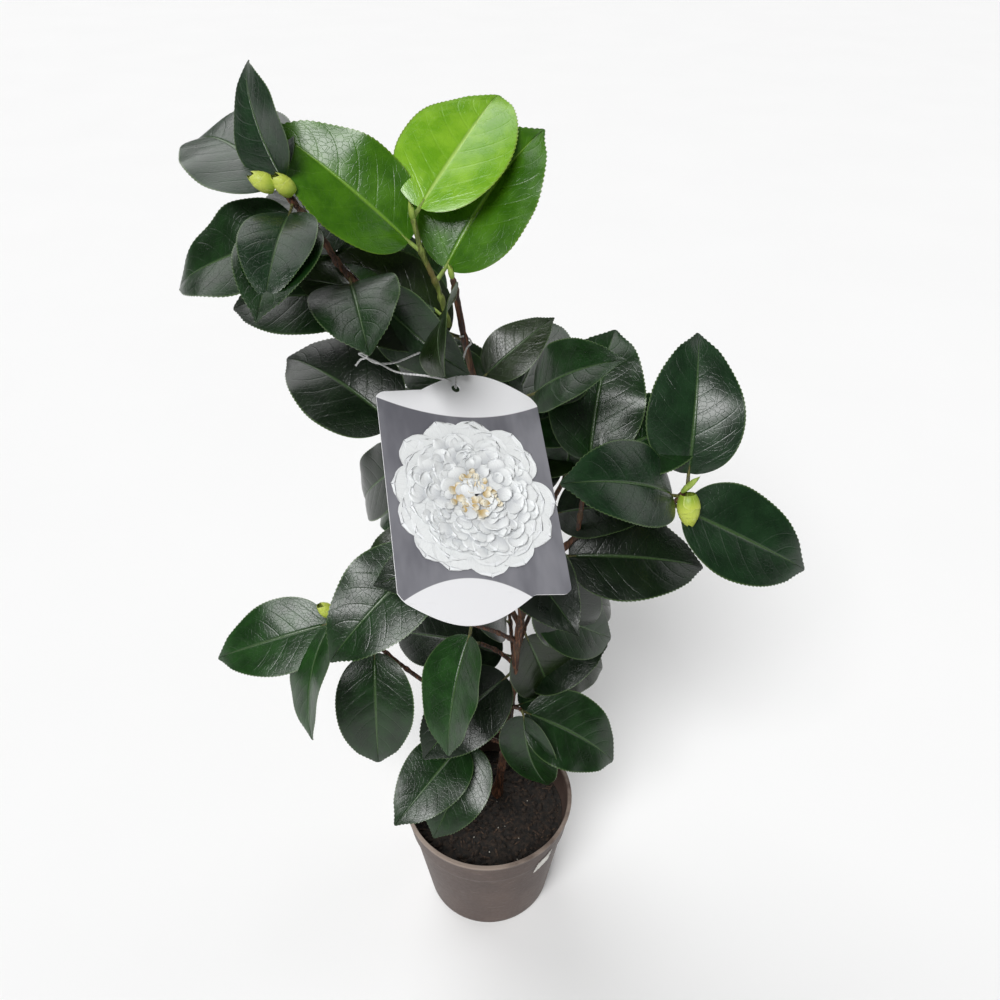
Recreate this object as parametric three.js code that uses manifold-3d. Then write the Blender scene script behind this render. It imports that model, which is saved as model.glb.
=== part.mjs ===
// Young camellia shrub growing in a round nursery pot.
// Millimetres, +Z up. Origin: centre of the pot's flat underside. -Y faces the viewer of the tag.
import * as THREE from "three";
import { mergeVertices } from "three/addons/utils/BufferGeometryUtils.js";
import Module from "manifold-3d";

const wasm = await Module();
wasm.setup();
const { Manifold, Mesh } = wasm;

// ---------------------------------------------------------------- pot and compost
const POT_HEIGHT = 120;
const POT_RIM_RADIUS = 75;
const POT_BASE_RADIUS = 56;
const POT_WALL = 2;
const POT_FLOOR = 2.5;
const POT_LIP_WIDTH = 3.5;
const POT_BAND_HEIGHT = 26;
const POT_BAND_STEP = 1.5;
const POT_BASE_CHAMFER = 2;
const POT_SIDES = 28;
const SOIL_LEVEL = 97;
const SOIL_FALL = 2.5;
const SOIL_CLODS = 1.6;
const SOIL_RINGS = [14, 32, 52];
const SOIL_SIDES = 16;
const SOIL_WALL_GAP = 1.6;
const SOIL_FLAT_REACH = 16;
const SOIL_BLEND = 12;
const SOIL_CLOD_STEP = 0.4;

// ---------------------------------------------------------------- wood and foliage
const GAP = 0.4;
const TRIM = 0.12;
const LIMB_SIDES = 6;
const LIMB_STEP = 34;
const FLARE_HEIGHT = 16;
const FLARE_EXTRA = 2.4;
const FLARE_TAPER = 1;
const FLARE_SHIFT = [0.6, -0.4];
const TWIG_RADIUS = 2.6;
const KNOT_RADIUS = 8;
const SHORTEST_TWIG = 0.02;
const LEAF_THICKNESS = 5;
const LEAF_WIDTH_RATIO = 0.6;
const BLADE_BASE_FORM = 0.55;
const BLADE_POINT_FORM = 0.9;
const LEAF_LENGTH = 95;
const LEAF_ARCH = 43;
const LEAF_FOLD = 10;
const LEAF_STALK = 8.5;
const LEAF_THINNING = 0.35;
const EDGE_GROWTH = 1.5;

// ---------------------------------------------------------------- how leaves are set
const LIGHT_HEIGHT = 36;
const SKY = [0, -0.6, 0.8];
const DIVERGENCE = 137.5;
const LEAF_SPREAD = 58;
const LEAF_SAG = 0.25;
const SPIRAL_SIZE = 0.86;
const LEAF_STATIONS = [0.14, 0.46, 0.84];

// ---------------------------------------------------------------- hanging tag
const TAG_WIDTH = 100;
const TAG_HEIGHT = 124;
const TAG_TOP_RISE = 15;
const TAG_BOTTOM_DROP = 16;
const TAG_THICKNESS = 1.2;
const TAG_FLAT = 23;
const TAG_STEPS = 14;
const TAG_CENTRE = [-4, -89, 518];
const TAG_LEAN = -56;
const TAG_SPIN = 25;
const TAG_TURN = 40;

// Limbs and twigs: course from the parent outwards, root and end radius.
const COURSES = {
  trunk: { way: [[8, 16, 97], [15, 12, 170], [20, 8, 235], [24, 4, 305], [27, 1, 338]], r: [3.8, 3.0] },
  leader: { way: [[27, 1, 338], [23, 0, 400], [9, 0, 480], [-8, 1, 550], [-17, 1, 606]], r: [2.8, 1.9] },
  topLeft: {
    way: [[-18, 2, 566], [-50, 6, 584], [-78, 4, 606], [-92, -4, 636], [-106, -10, 660]],
    r: [2.2, 1.6],
  },
  newShoot: { way: [[-20, 1, 575], [-26, 1, 600], [-34, -1, 622], [-38, -1, 642]], r: [1.8, 1.4] },
  midLeft: { way: [[20, 0, 398], [-10, -8, 404], [-34, -12, 420], [-50, -10, 508]], r: [2.0, 1.4] },
  rightUpper: { way: [[6, 0, 495], [16, 4, 512], [27, 6, 524]], r: [1.8, 1.4] },
  right: {
    way: [[28, 1, 338], [44, 2, 378], [66, 4, 412], [102, 3, 432], [130, -2, 446], [138, 0, 458]],
    r: [2.5, 1.7],
  },
  rightMid: { way: [[66, 4, 415], [68, 6, 445], [71, 6, 475]], r: [1.8, 1.4] },
  rightLow: { way: [[25, 4, 300], [32, 20, 312], [40, 30, 325]], r: [1.8, 1.4] },
  rightBase: { way: [[20, 8, 235], [28, 20, 245], [34, 32, 256]], r: [1.8, 1.4] },
  potRight: { way: [[19, 9, 222], [24, 2, 232], [28, -6, 238]], r: [1.8, 1.4] },
  potLeft: { way: [[15, 12, 172], [0, 6, 188], [-16, 0, 200]], r: [1.8, 1.4] },
  left: {
    way: [[16, 11, 185], [-20, 2, 232], [-58, -4, 278], [-90, -6, 318], [-116, -6, 342]],
    r: [2.1, 1.4],
  },
  centreFront: { way: [[24, 4, 306], [8, -14, 334], [-10, -30, 358]], r: [1.8, 1.4] },
  centreBack: { way: [[22, 5, 280], [8, 14, 286], [-5, 18, 290]], r: [1.8, 1.4] },
  behindTag: { way: [[20, 0, 415], [14, -18, 425], [8, -32, 435]], r: [1.8, 1.4] },
  backUpper: { way: [[9, 0, 480], [12, 22, 488], [8, 48, 486]], r: [1.9, 1.4] },
  backMid: { way: [[16, 0, 440], [12, 40, 450], [0, 78, 452]], r: [2.0, 1.4] },
  backLeft: { way: [[26, 2, 325], [0, 35, 360], [-28, 68, 400]], r: [2.2, 1.5] },
  backRight: { way: [[23, 0, 395], [48, 34, 418], [70, 70, 440]], r: [2.2, 1.5] },
  backLow: { way: [[17, 10, 205], [22, 38, 240], [18, 68, 285]], r: [2.1, 1.5] },
};

// Limb nodes: the course each follows and how far along it the bare limb runs.
const LIMBS = {
  leader: { course: "leader", from: 0.002, to: 0.7 },
  bough_top_left: { course: "topLeft", to: 0.3 },
  bough_new_shoot: { course: "newShoot", from: 0.14, to: 0.34 },
  bough_right: { course: "right", to: 0.86 },
  bough_mid_left: { course: "midLeft", to: 0.62 },
  bough_left: { course: "left", to: 0.96 },
  bough_back_left: { course: "backLeft", to: 0.74 },
  bough_back_right: { course: "backRight", to: 0.64 },
  bough_back_middle: { course: "backMid", to: 0.74 },
  bough_back_low: { course: "backLow", to: 0.68 },
};

/**
 * One leaf on the side that shows: its turn in the plane that faces the light (0 = right, 90 = up and
 * back), its lean out of that plane to the light, its roll from the sky and its size against the usual.
 */
const leaf = (turn, lean, roll = 0, size = 1) => ({ turn, lean, roll, size });

// Foliage masses: the course each grows on and the stretch its leaves are spaced along. A mass with a
// spiral lists no leaves: that many stand round the course, each turned on by the same divergence.
const MASSES = {
  foliage_top_left_tip: {
    course: "topLeft",
    first: 0.94,
    last: 1,
    leaves: [leaf(-95, 30, 0, 0.7), leaf(108, 0, -50, 0.75), leaf(142, -35, 0, 1.05)],
  },
  foliage_top_left_low: {
    course: "topLeft",
    first: 0.8,
    last: 0.88,
    leaves: [leaf(-165, -20), leaf(-100, 35, 0, 0.8)],
  },
  foliage_top_left_inner: {
    course: "topLeft",
    first: 0.36,
    last: 0.62,
    leaves: [leaf(180, -15), leaf(-40, 5, 45, 0.8), leaf(-70, 45, 0, 0.85), leaf(120, -40)],
  },
  foliage_new_shoot: {
    course: "newShoot",
    first: 0.42,
    last: 1,
    leaves: [leaf(55, 0, 0, 1.1), leaf(142, 10, 0, 1.05), leaf(62, -25, 0, 1.1)],
  },
  foliage_new_shoot_foot: {
    course: "newShoot",
    first: 0.07,
    last: 0.07,
    leaves: [leaf(140, -5, 20, 0.9)],
  },
  foliage_leader: {
    course: "leader",
    first: 0.74,
    last: 0.97,
    leaves: [leaf(40, 0, 0, 0.6), leaf(162, 8, 0, 1.05), leaf(-92, 45, 65, 0.8)],
  },
  foliage_mid_left_low: { course: "midLeft", first: 0.38, last: 0.38, leaves: [leaf(-133, 5, 0, 1.08)] },
  foliage_mid_left_high: {
    course: "midLeft",
    first: 0.86,
    last: 1,
    leaves: [leaf(-145, -55, 0, 0.9), leaf(148, -20, 0, 1.05)],
  },
  foliage_right_upper: {
    course: "rightUpper",
    first: 0.62,
    last: 1,
    leaves: [leaf(70, -40, 0, 0.95), leaf(40, -60), leaf(15, 45, 0, 0.8)],
  },
  foliage_right_mid: {
    course: "rightMid",
    first: 0.8,
    last: 1,
    leaves: [leaf(78, -10, 0, 1.1), leaf(20, -20)],
  },
  foliage_right_inner: {
    course: "right",
    first: 0.28,
    last: 0.36,
    leaves: [leaf(-70, -45), leaf(-5, -10, 0, 1.15)],
  },
  foliage_right_tip: {
    course: "right",
    first: 0.9,
    last: 1,
    leaves: [leaf(-25, -15, 0, 1.15), leaf(175, 35, 0, 1.05), leaf(85, -5, 0, 1.1)],
  },
  foliage_right_fork: { course: "right", first: 0.05, last: 0.05, leaves: [leaf(-25, -35, 0, 0.9)] },
  foliage_right_low: {
    course: "rightLow",
    first: 0.36,
    last: 1,
    leaves: [leaf(-70, -45), leaf(-10, -40, 0, 0.85)],
  },
  foliage_right_base: { course: "rightBase", first: 1, last: 1, leaves: [leaf(-15, -40, 0, 0.9)] },
  foliage_pot_right: {
    course: "potRight",
    first: 0.1,
    last: 1,
    leaves: [leaf(10, -45, 0, 0.85), leaf(-32, -15, 0, 1.05), leaf(-72, -30, 40, 0.9)],
  },
  foliage_pot_left: {
    course: "potLeft",
    first: 0.85,
    last: 1,
    leaves: [leaf(-112, 0, 0, 0.95), leaf(-132, 20, 0, 0.9)],
  },
  foliage_left_inner: { course: "left", first: 0.8, last: 0.8, leaves: [leaf(-90, -15, 0, 1.05)] },
  foliage_left_tip: {
    course: "left",
    first: 0.97,
    last: 1,
    leaves: [leaf(-162, -10, 0, 1.05), leaf(-95, 20, 50, 0.9)],
  },
  foliage_centre_front: { course: "centreFront", first: 1, last: 1, leaves: [leaf(-100, 0, 40, 0.95)] },
  foliage_centre_back: { course: "centreBack", first: 1, last: 1, leaves: [leaf(180, -40, 0, 0.95)] },
  foliage_centre: { course: "trunk", first: 0.73, last: 0.73, leaves: [leaf(-135, 0)] },
  foliage_behind_tag: { course: "behindTag", first: 0.5, last: 1, spiral: 2, start: 200 },
  foliage_back_upper: { course: "backUpper", first: 0.5, last: 1, spiral: 2, start: 0 },
  foliage_back_left_inner: { course: "backLeft", first: 0.35, last: 0.65, spiral: 2, start: 60 },
  foliage_back_left_tip: { course: "backLeft", first: 0.8, last: 1, spiral: 3, start: 110 },
  foliage_back_right_inner: { course: "backRight", first: 0.4, last: 0.55, spiral: 2, start: 20 },
  foliage_back_right_tip: { course: "backRight", first: 0.75, last: 1, spiral: 3, start: 90 },
  foliage_back_middle_inner: { course: "backMid", first: 0.45, last: 0.6, spiral: 2, start: 0 },
  foliage_back_middle_tip: { course: "backMid", first: 0.8, last: 1, spiral: 2, start: 100 },
  foliage_back_low_inner: { course: "backLow", first: 0.4, last: 0.55, spiral: 2, start: 30 },
  foliage_back_low_tip: { course: "backLow", first: 0.85, last: 1, spiral: 2, start: 120 },
};

const POT_COLOUR = 0x5b4c44;
const COMPOST_COLOUR = 0x1d140e;
const TAG_COLOUR = 0xefeeee;
const BARK_ROUGHNESS = 0.8;
const LEAF_ROUGHNESS = 0.45;
const BARK_COLOUR = 0x6b4028;
const YOUNG_BARK_COLOUR = 0x7c8a3a;
const OLD_LEAF_COLOUR = 0x24452a;
const NEW_LEAF_COLOUR = 0x7ea02c;

const radians = THREE.MathUtils.degToRad;
const vec = (p) => new THREE.Vector3(...p);

/** A closed solid from vertices and triangles, turned so that its faces look out. */
function solidOf(points, triangles) {
  let volume = 0;
  for (const [a, b, c] of triangles) {
    volume += points[a].dot(new THREE.Vector3().crossVectors(points[b], points[c]));
  }
  const faces = volume < 0 ? triangles.map(([a, b, c]) => [a, c, b]) : triangles;
  return new Manifold(
    new Mesh({
      numProp: 3,
      vertProperties: new Float32Array(points.flatMap((p) => p.toArray())),
      triVerts: new Uint32Array(faces.flat()),
    }),
  );
}

/** The solid of a closed three.js geometry. */
function solidOfGeometry(geometry) {
  geometry.deleteAttribute("normal");
  geometry.deleteAttribute("uv");
  const merged = mergeVertices(geometry);
  const place = merged.getAttribute("position");
  const pointAt = (_, k) => new THREE.Vector3().fromBufferAttribute(place, k);
  const points = Array.from({ length: place.count }, pointAt);
  const corners = Array.from(merged.index.array);
  const triangles = [];
  for (let k = 0; k < corners.length; k += 3) {
    const triangle = corners.slice(k, k + 3);
    if (new Set(triangle).size === 3) {
      triangles.push(triangle);
    }
  }
  return solidOf(points, triangles);
}

/** A skin of equal rings, closed at each end by a point. */
function skinOverRings(rings, start, end) {
  const sides = rings[0].length;
  const points = [start, ...rings.flat(), end];
  const last = points.length - 1;
  const triangles = [];
  for (let k = 0; k < sides; k++) {
    const next = (k + 1) % sides;
    triangles.push([0, 1 + next, 1 + k]);
    for (let i = 0; i < rings.length - 1; i++) {
      const a = 1 + i * sides;
      const b = a + sides;
      triangles.push([a + k, a + next, b + next], [a + k, b + next, b + k]);
    }
    const top = 1 + (rings.length - 1) * sides;
    triangles.push([top + k, top + next, last]);
  }
  return solidOf(points, triangles);
}

/** The smooth line a limb follows. */
function courseLine(name) {
  return new THREE.CatmullRomCurve3(COURSES[name].way.map(vec), false, "centripetal");
}

/** A tapering tube along part of a course. */
function limbSolid(name, from, to, grow = 0, extra = 0) {
  const line = courseLine(name);
  const [rootRadius, endRadius] = COURSES[name].r;
  const length = line.getLength() * (to - from);
  const count = Math.max(2, Math.round(length / LIMB_STEP));
  const rings = [];
  for (let i = 0; i <= count; i++) {
    const t = from + ((to - from) * i) / count;
    const centre = line.getPointAt(t);
    const along = line.getTangentAt(t);
    const side = new THREE.Vector3(1, 0, 0).cross(along).normalize();
    const other = new THREE.Vector3().crossVectors(along, side);
    const radius = rootRadius + (endRadius - rootRadius) * t + grow + extra;
    const ring = [];
    for (let k = 0; k < LIMB_SIDES; k++) {
      const turn = (2 * Math.PI * k) / LIMB_SIDES;
      const corner = centre.clone().addScaledVector(side, radius * Math.cos(turn));
      ring.push(corner.addScaledVector(other, radius * Math.sin(turn)));
    }
    rings.push(ring);
  }
  const start = line.getPointAt(from).addScaledVector(line.getTangentAt(from), -grow);
  const end = line.getPointAt(to).addScaledVector(line.getTangentAt(to), grow);
  return skinOverRings(rings, start, end);
}

/** The trunk: its limb, flared at the foot and cut flat at compost level. */
function trunkSolid(grow) {
  const line = courseLine("trunk");
  const foot = line.getPointAt(0);
  const footRadius = COURSES.trunk.r[0] + grow;
  const height = FLARE_HEIGHT + 2 * GAP;
  const topRadius = footRadius - FLARE_TAPER;
  const cone = new THREE.CylinderGeometry(topRadius, footRadius + FLARE_EXTRA, height, LIMB_SIDES);
  cone.rotateX(Math.PI / 2);
  cone.translate(foot.x + FLARE_SHIFT[0], foot.y + FLARE_SHIFT[1], SOIL_LEVEL - GAP + height / 2);
  const flare = solidOfGeometry(cone);
  const stem = limbSolid("trunk", 0, 1, grow).add(flare);
  return stem.trimByPlane([0, 0, 1], SOIL_LEVEL - (grow > 0 ? GAP : 0));
}

/** The blade's form at u along it, before it is scaled to its greatest width. */
const bladeForm = (u) => u ** BLADE_BASE_FORM * (1 - u) ** BLADE_POINT_FORM;

/** Half of the blade's width at u along it, as a share of its greatest half width. */
function bladeShape(u) {
  const widestAt = BLADE_BASE_FORM / (BLADE_BASE_FORM + BLADE_POINT_FORM);
  return bladeForm(u) / bladeForm(widestAt);
}

/** The way a listed leaf points. */
function listedWay({ turn, lean }) {
  const height = radians(LIGHT_HEIGHT);
  const back = new THREE.Vector3(0, Math.sin(height), Math.cos(height));
  const front = new THREE.Vector3(0, -Math.cos(height), Math.sin(height));
  return new THREE.Vector3(Math.cos(radians(turn)), 0, 0)
    .addScaledVector(back, Math.sin(radians(turn)))
    .multiplyScalar(Math.cos(radians(lean)))
    .addScaledVector(front, Math.sin(radians(lean)));
}

/** The way a leaf points that stands round a limb, sagging a little. */
function spiralWay(limbWay, turn) {
  const first = new THREE.Vector3().crossVectors(limbWay, new THREE.Vector3(0, 0, 1)).normalize();
  const second = new THREE.Vector3().crossVectors(first, limbWay);
  const out = first.multiplyScalar(Math.cos(radians(turn))).addScaledVector(second, Math.sin(radians(turn)));
  const way = limbWay.clone().multiplyScalar(Math.cos(radians(LEAF_SPREAD)));
  way.addScaledVector(out, Math.sin(radians(LEAF_SPREAD)));
  way.z -= LEAF_SAG;
  return way.normalize();
}

/** A mass's leaves as grown: root, direction, side and length of each. */
function grownLeaves(mass) {
  const line = courseLine(mass.course);
  const count = mass.spiral ?? mass.leaves.length;
  return Array.from({ length: count }, (_, k) => {
    const place = mass.first + ((mass.last - mass.first) * k) / Math.max(1, count - 1);
    const listed = mass.spiral ? { roll: 0, size: SPIRAL_SIZE } : mass.leaves[k];
    const along = mass.spiral
      ? spiralWay(line.getTangentAt(place), (mass.start ?? 0) + k * DIVERGENCE)
      : listedWay(listed);
    const side = new THREE.Vector3().crossVectors(along, new THREE.Vector3(...SKY)).normalize();
    side.applyAxisAngle(along, radians(listed.roll));
    return { place, root: line.getPointAt(place), along, side, length: LEAF_LENGTH * listed.size };
  });
}

/** One leaf's share of a mass: a lens over the blade, drawn in to the twig at its stalk. */
function padSolid({ root, along, side, length }, grow) {
  const face = new THREE.Vector3().crossVectors(side, along);
  const arch = radians(LEAF_ARCH);
  const fold = radians(LEAF_FOLD);
  const halfWidth = (length * LEAF_WIDTH_RATIO) / 2;
  const halfThick = LEAF_THICKNESS / 2 + grow;
  const radius = length / arch;
  const at = (u) => {
    const turn = arch * (0.5 - u);
    return root
      .clone()
      .addScaledVector(along, LEAF_STALK + radius * (Math.sin(arch / 2) - Math.sin(turn)))
      .addScaledVector(face, radius * (Math.cos(turn) - Math.cos(arch / 2)));
  };
  const ringAt = (centre, turn, half, thick) => {
    const out = along.clone().multiplyScalar(Math.cos(turn)).addScaledVector(face, Math.sin(turn));
    const up = new THREE.Vector3().crossVectors(side, out);
    const lift = half * Math.sin(fold);
    const wide = half * Math.cos(fold) + grow;
    const corner = (across, height) => {
      const edge = centre.clone().addScaledVector(side, across);
      return edge.addScaledVector(up, height);
    };
    const edges = grow > 0 ? [EDGE_GROWTH * grow, -EDGE_GROWTH * grow] : [0];
    return [
      ...edges.map((e) => corner(-wide, lift - e)),
      corner(0, thick),
      ...edges.map((e) => corner(wide, lift + e)),
      corner(0, -thick),
    ];
  };
  const rings = [];
  for (const u of LEAF_STATIONS) {
    const thick = halfThick * (1 - LEAF_THINNING * u);
    rings.push(ringAt(at(u), arch * (0.5 - u), halfWidth * bladeShape(u), thick));
  }
  const tipTurn = -arch / 2;
  const tipWay = along.clone().multiplyScalar(Math.cos(tipTurn)).addScaledVector(face, Math.sin(tipTurn));
  const tip = at(1).addScaledVector(tipWay, grow);
  return skinOverRings(rings, root.clone().addScaledVector(along, -grow), tip);
}

/** A mass: its leaves' shares joined on a knot round the twig that carries them. */
function massSolid(mass, grow) {
  const grown = grownLeaves(mass);
  const pieces = grown.map((one) => padSolid(one, grow));
  for (const one of grown) {
    const knot = new THREE.OctahedronGeometry(KNOT_RADIUS + 2 * grow, 0);
    pieces.push(solidOfGeometry(knot.translate(...one.root.toArray())));
  }
  if (mass.last - mass.first > SHORTEST_TWIG) {
    pieces.push(limbSolid(mass.course, mass.first, mass.last, grow, TWIG_RADIUS));
  }
  return Manifold.union(pieces);
}

/** The largest connected body of a cut solid. */
function mainBody(solid) {
  const bodies = solid.decompose();
  return bodies.reduce((best, b) => (b.volume() > best.volume() ? b : best), bodies[0]);
}

/** The pot: tapering wall, stepped rim band, flat lip and flat floor. */
function potSolid(grow) {
  const rim = POT_RIM_RADIUS + grow;
  const bandFoot = POT_HEIGHT - POT_BAND_HEIGHT;
  const wallAt = (z) => POT_BASE_RADIUS + ((rim - POT_BAND_STEP - POT_BASE_RADIUS) * z) / POT_HEIGHT;
  const inner = (z) => wallAt(z) - POT_WALL - 2 * grow;
  const top = POT_HEIGHT + grow;
  const profile = [
    [0, 0],
    [POT_BASE_RADIUS - POT_BASE_CHAMFER, 0],
    [wallAt(POT_BASE_CHAMFER), POT_BASE_CHAMFER],
    [wallAt(bandFoot), bandFoot],
    [wallAt(bandFoot) + POT_BAND_STEP, bandFoot],
    [rim, top - POT_LIP_WIDTH / 2],
    [rim, top],
    [rim - POT_LIP_WIDTH - 2 * grow, top],
    [inner(POT_FLOOR), POT_FLOOR],
    [0, POT_FLOOR],
  ];
  const pot = new THREE.LatheGeometry(profile.map((p) => new THREE.Vector2(...p)), POT_SIDES);
  return solidOfGeometry(pot.rotateX(Math.PI / 2));
}

/** The compost: fills the pot to its level, loose and uneven but flat under the trunk. */
function soilSolid() {
  const slope = (POT_RIM_RADIUS - POT_LIP_WIDTH - (POT_BASE_RADIUS - POT_WALL)) / POT_HEIGHT;
  const wallRadius = (z) => POT_BASE_RADIUS - POT_WALL + slope * z - SOIL_WALL_GAP;
  const foot = COURSES.trunk.way[0];
  const level = SOIL_LEVEL - GAP;
  const edgeLevel = level - SOIL_FALL;
  const ringOf = (radius, height) =>
    Array.from({ length: SOIL_SIDES }, (_, k) => {
      const turn = (2 * Math.PI * k) / SOIL_SIDES;
      const x = radius * Math.cos(turn);
      const y = radius * Math.sin(turn);
      return new THREE.Vector3(x, y, height(x, y, k));
    });
  const clod = (x, y, k) => {
    const reach = Math.hypot(x - foot[0], y - foot[1]);
    const free = THREE.MathUtils.clamp((reach - SOIL_FLAT_REACH) / SOIL_BLEND, 0, 1);
    const fall = SOIL_FALL * (Math.hypot(x, y) / wallRadius(level)) ** 2;
    const clods = SOIL_CLODS * SOIL_CLOD_STEP * (k % 3);
    return level - free * (fall + clods);
  };
  const rings = [
    ringOf(wallRadius(POT_FLOOR + GAP), () => POT_FLOOR + GAP),
    ringOf(wallRadius(edgeLevel), () => edgeLevel),
  ];
  for (const radius of [...SOIL_RINGS].reverse()) {
    rings.push(ringOf(radius, clod));
  }
  return skinOverRings(rings, new THREE.Vector3(0, 0, POT_FLOOR + GAP), new THREE.Vector3(0, 0, level));
}

/** How far the tag's end swells at x: level for a short way, then one long dome. */
function tagDome(x) {
  const share = THREE.MathUtils.clamp((x + TAG_WIDTH / 2 - TAG_FLAT) / (TAG_WIDTH - TAG_FLAT), 0, 1);
  return Math.sin(Math.PI * share);
}

/** The tag: a card with a long dome at its head and one at its foot, leaning out over the leaves. */
function tagSolid(grow) {
  const half = TAG_WIDTH / 2 + grow;
  const side = TAG_HEIGHT / 2 + grow;
  const across = Array.from({ length: TAG_STEPS + 1 }, (_, k) => -half + (2 * half * k) / TAG_STEPS);
  const foot = across.map((x) => new THREE.Vector2(x, -side - TAG_BOTTOM_DROP * tagDome(-x)));
  const head = across.map((x) => new THREE.Vector2(x, side + TAG_TOP_RISE * tagDome(x))).reverse();
  const outline = new THREE.Shape([...foot, ...head]);
  const thick = TAG_THICKNESS + 2 * grow;
  const card = new THREE.ExtrudeGeometry(outline, { depth: thick, bevelEnabled: false });
  card.translate(0, 0, -thick / 2);
  card.rotateX(Math.PI / 2);
  card.rotateY(radians(TAG_SPIN));
  card.rotateX(radians(TAG_LEAN));
  card.rotateZ(radians(TAG_TURN));
  card.translate(...TAG_CENTRE);
  return solidOfGeometry(card);
}

/** The three.js mesh of a solid, with its own finish. */
function meshOf(name, solid, colour, roughness) {
  const { numProp, numVert, vertProperties, triVerts } = solid.getMesh();
  const positions = new Float32Array(numVert * 3);
  for (let i = 0; i < numVert; i++) {
    positions.set(vertProperties.subarray(i * numProp, i * numProp + 3), i * 3);
  }
  const geometry = new THREE.BufferGeometry();
  geometry.setAttribute("position", new THREE.BufferAttribute(positions, 3));
  geometry.setIndex(new THREE.BufferAttribute(triVerts.slice(), 1));
  const look = { color: colour, roughness, metalness: 0, flatShading: true };
  const material = new THREE.MeshStandardMaterial(look);
  const mesh = new THREE.Mesh(geometry, material);
  mesh.name = name;
  return mesh;
}

const plant = new THREE.Group();
plant.name = "camellia_shrub";
const keptClear = [];

/** Adds a node, cut clear of the nodes added before it. */
function addNode(name, make, colour, roughness) {
  let solid = make(0);
  const box = make(GAP).boundingBox();
  const near = keptClear.filter(({ bounds }) =>
    [0, 1, 2].every((k) => bounds.min[k] < box.max[k] && bounds.max[k] > box.min[k]),
  );
  if (near.length) {
    solid = solid.subtract(Manifold.union(near.map(({ body }) => body)));
  }
  solid = mainBody(solid.simplify(TRIM));
  plant.add(meshOf(name, solid, colour, roughness));
  const body = make(GAP);
  keptClear.push({ body, bounds: body.boundingBox() });
}

addNode("pot", potSolid, POT_COLOUR, 0.55);
plant.add(meshOf("compost", soilSolid(), COMPOST_COLOUR, 0.95));
addNode("tag", tagSolid, TAG_COLOUR, 0.35);
addNode("trunk", trunkSolid, BARK_COLOUR, BARK_ROUGHNESS);
for (const [name, { course, from = 0, to }] of Object.entries(LIMBS)) {
  const colour = name === "bough_new_shoot" ? YOUNG_BARK_COLOUR : BARK_COLOUR;
  addNode(name, (grow) => limbSolid(course, from, to, grow), colour, BARK_ROUGHNESS);
}
for (const [name, mass] of Object.entries(MASSES)) {
  const colour = name === "foliage_new_shoot" ? NEW_LEAF_COLOUR : OLD_LEAF_COLOUR;
  addNode(name, (grow) => massSolid(mass, grow), colour, LEAF_ROUGHNESS);
}

export default plant;
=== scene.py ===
"""A potted camellia shrub with glossy old leaves, a bright new shoot, buds and a picture tag.

Every sub-assembly is a class: it holds its sizes, builds its meshes and dresses them.
Lengths in the tables are millimetres; meshes are in metres, +Z up, -Y towards the viewer.
"""

import logging
import math
import random
from dataclasses import dataclass
from enum import Enum

import bpy
import numpy as np
from bpy.types import Material, Node, NodeSocket, NodeTree, Object
from mathutils import Euler, Matrix, Vector, noise


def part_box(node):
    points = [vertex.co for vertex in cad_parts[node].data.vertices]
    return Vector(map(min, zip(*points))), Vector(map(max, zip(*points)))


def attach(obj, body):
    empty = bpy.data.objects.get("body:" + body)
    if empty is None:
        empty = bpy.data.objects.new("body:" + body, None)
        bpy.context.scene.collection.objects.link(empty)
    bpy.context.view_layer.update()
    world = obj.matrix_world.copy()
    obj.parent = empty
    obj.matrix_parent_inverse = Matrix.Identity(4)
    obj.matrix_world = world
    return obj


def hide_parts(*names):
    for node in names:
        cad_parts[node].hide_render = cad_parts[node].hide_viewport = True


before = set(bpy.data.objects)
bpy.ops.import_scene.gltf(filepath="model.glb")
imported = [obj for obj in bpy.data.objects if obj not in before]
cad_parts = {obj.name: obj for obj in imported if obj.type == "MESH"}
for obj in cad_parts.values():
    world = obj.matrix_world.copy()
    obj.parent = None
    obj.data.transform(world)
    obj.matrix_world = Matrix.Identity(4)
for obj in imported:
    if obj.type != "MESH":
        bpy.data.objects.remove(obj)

log = logging.getLogger("camellia")
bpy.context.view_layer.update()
MM = 0.001
TURN = 2 * math.pi
ROOT = "root"
LEAF_MAP = "OFBake"


class Slot(Enum):
    """The record's finishes."""

    POT = "pot_plastic"
    COMPOST = "compost"
    CARD = "tag_card"
    BARK = "bark"
    YOUNG = "young_bark"
    OLD_LEAF = "leaf_old"
    NEW_LEAF = "leaf_new"


# ------------------------------------------------------------------ node trees


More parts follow.
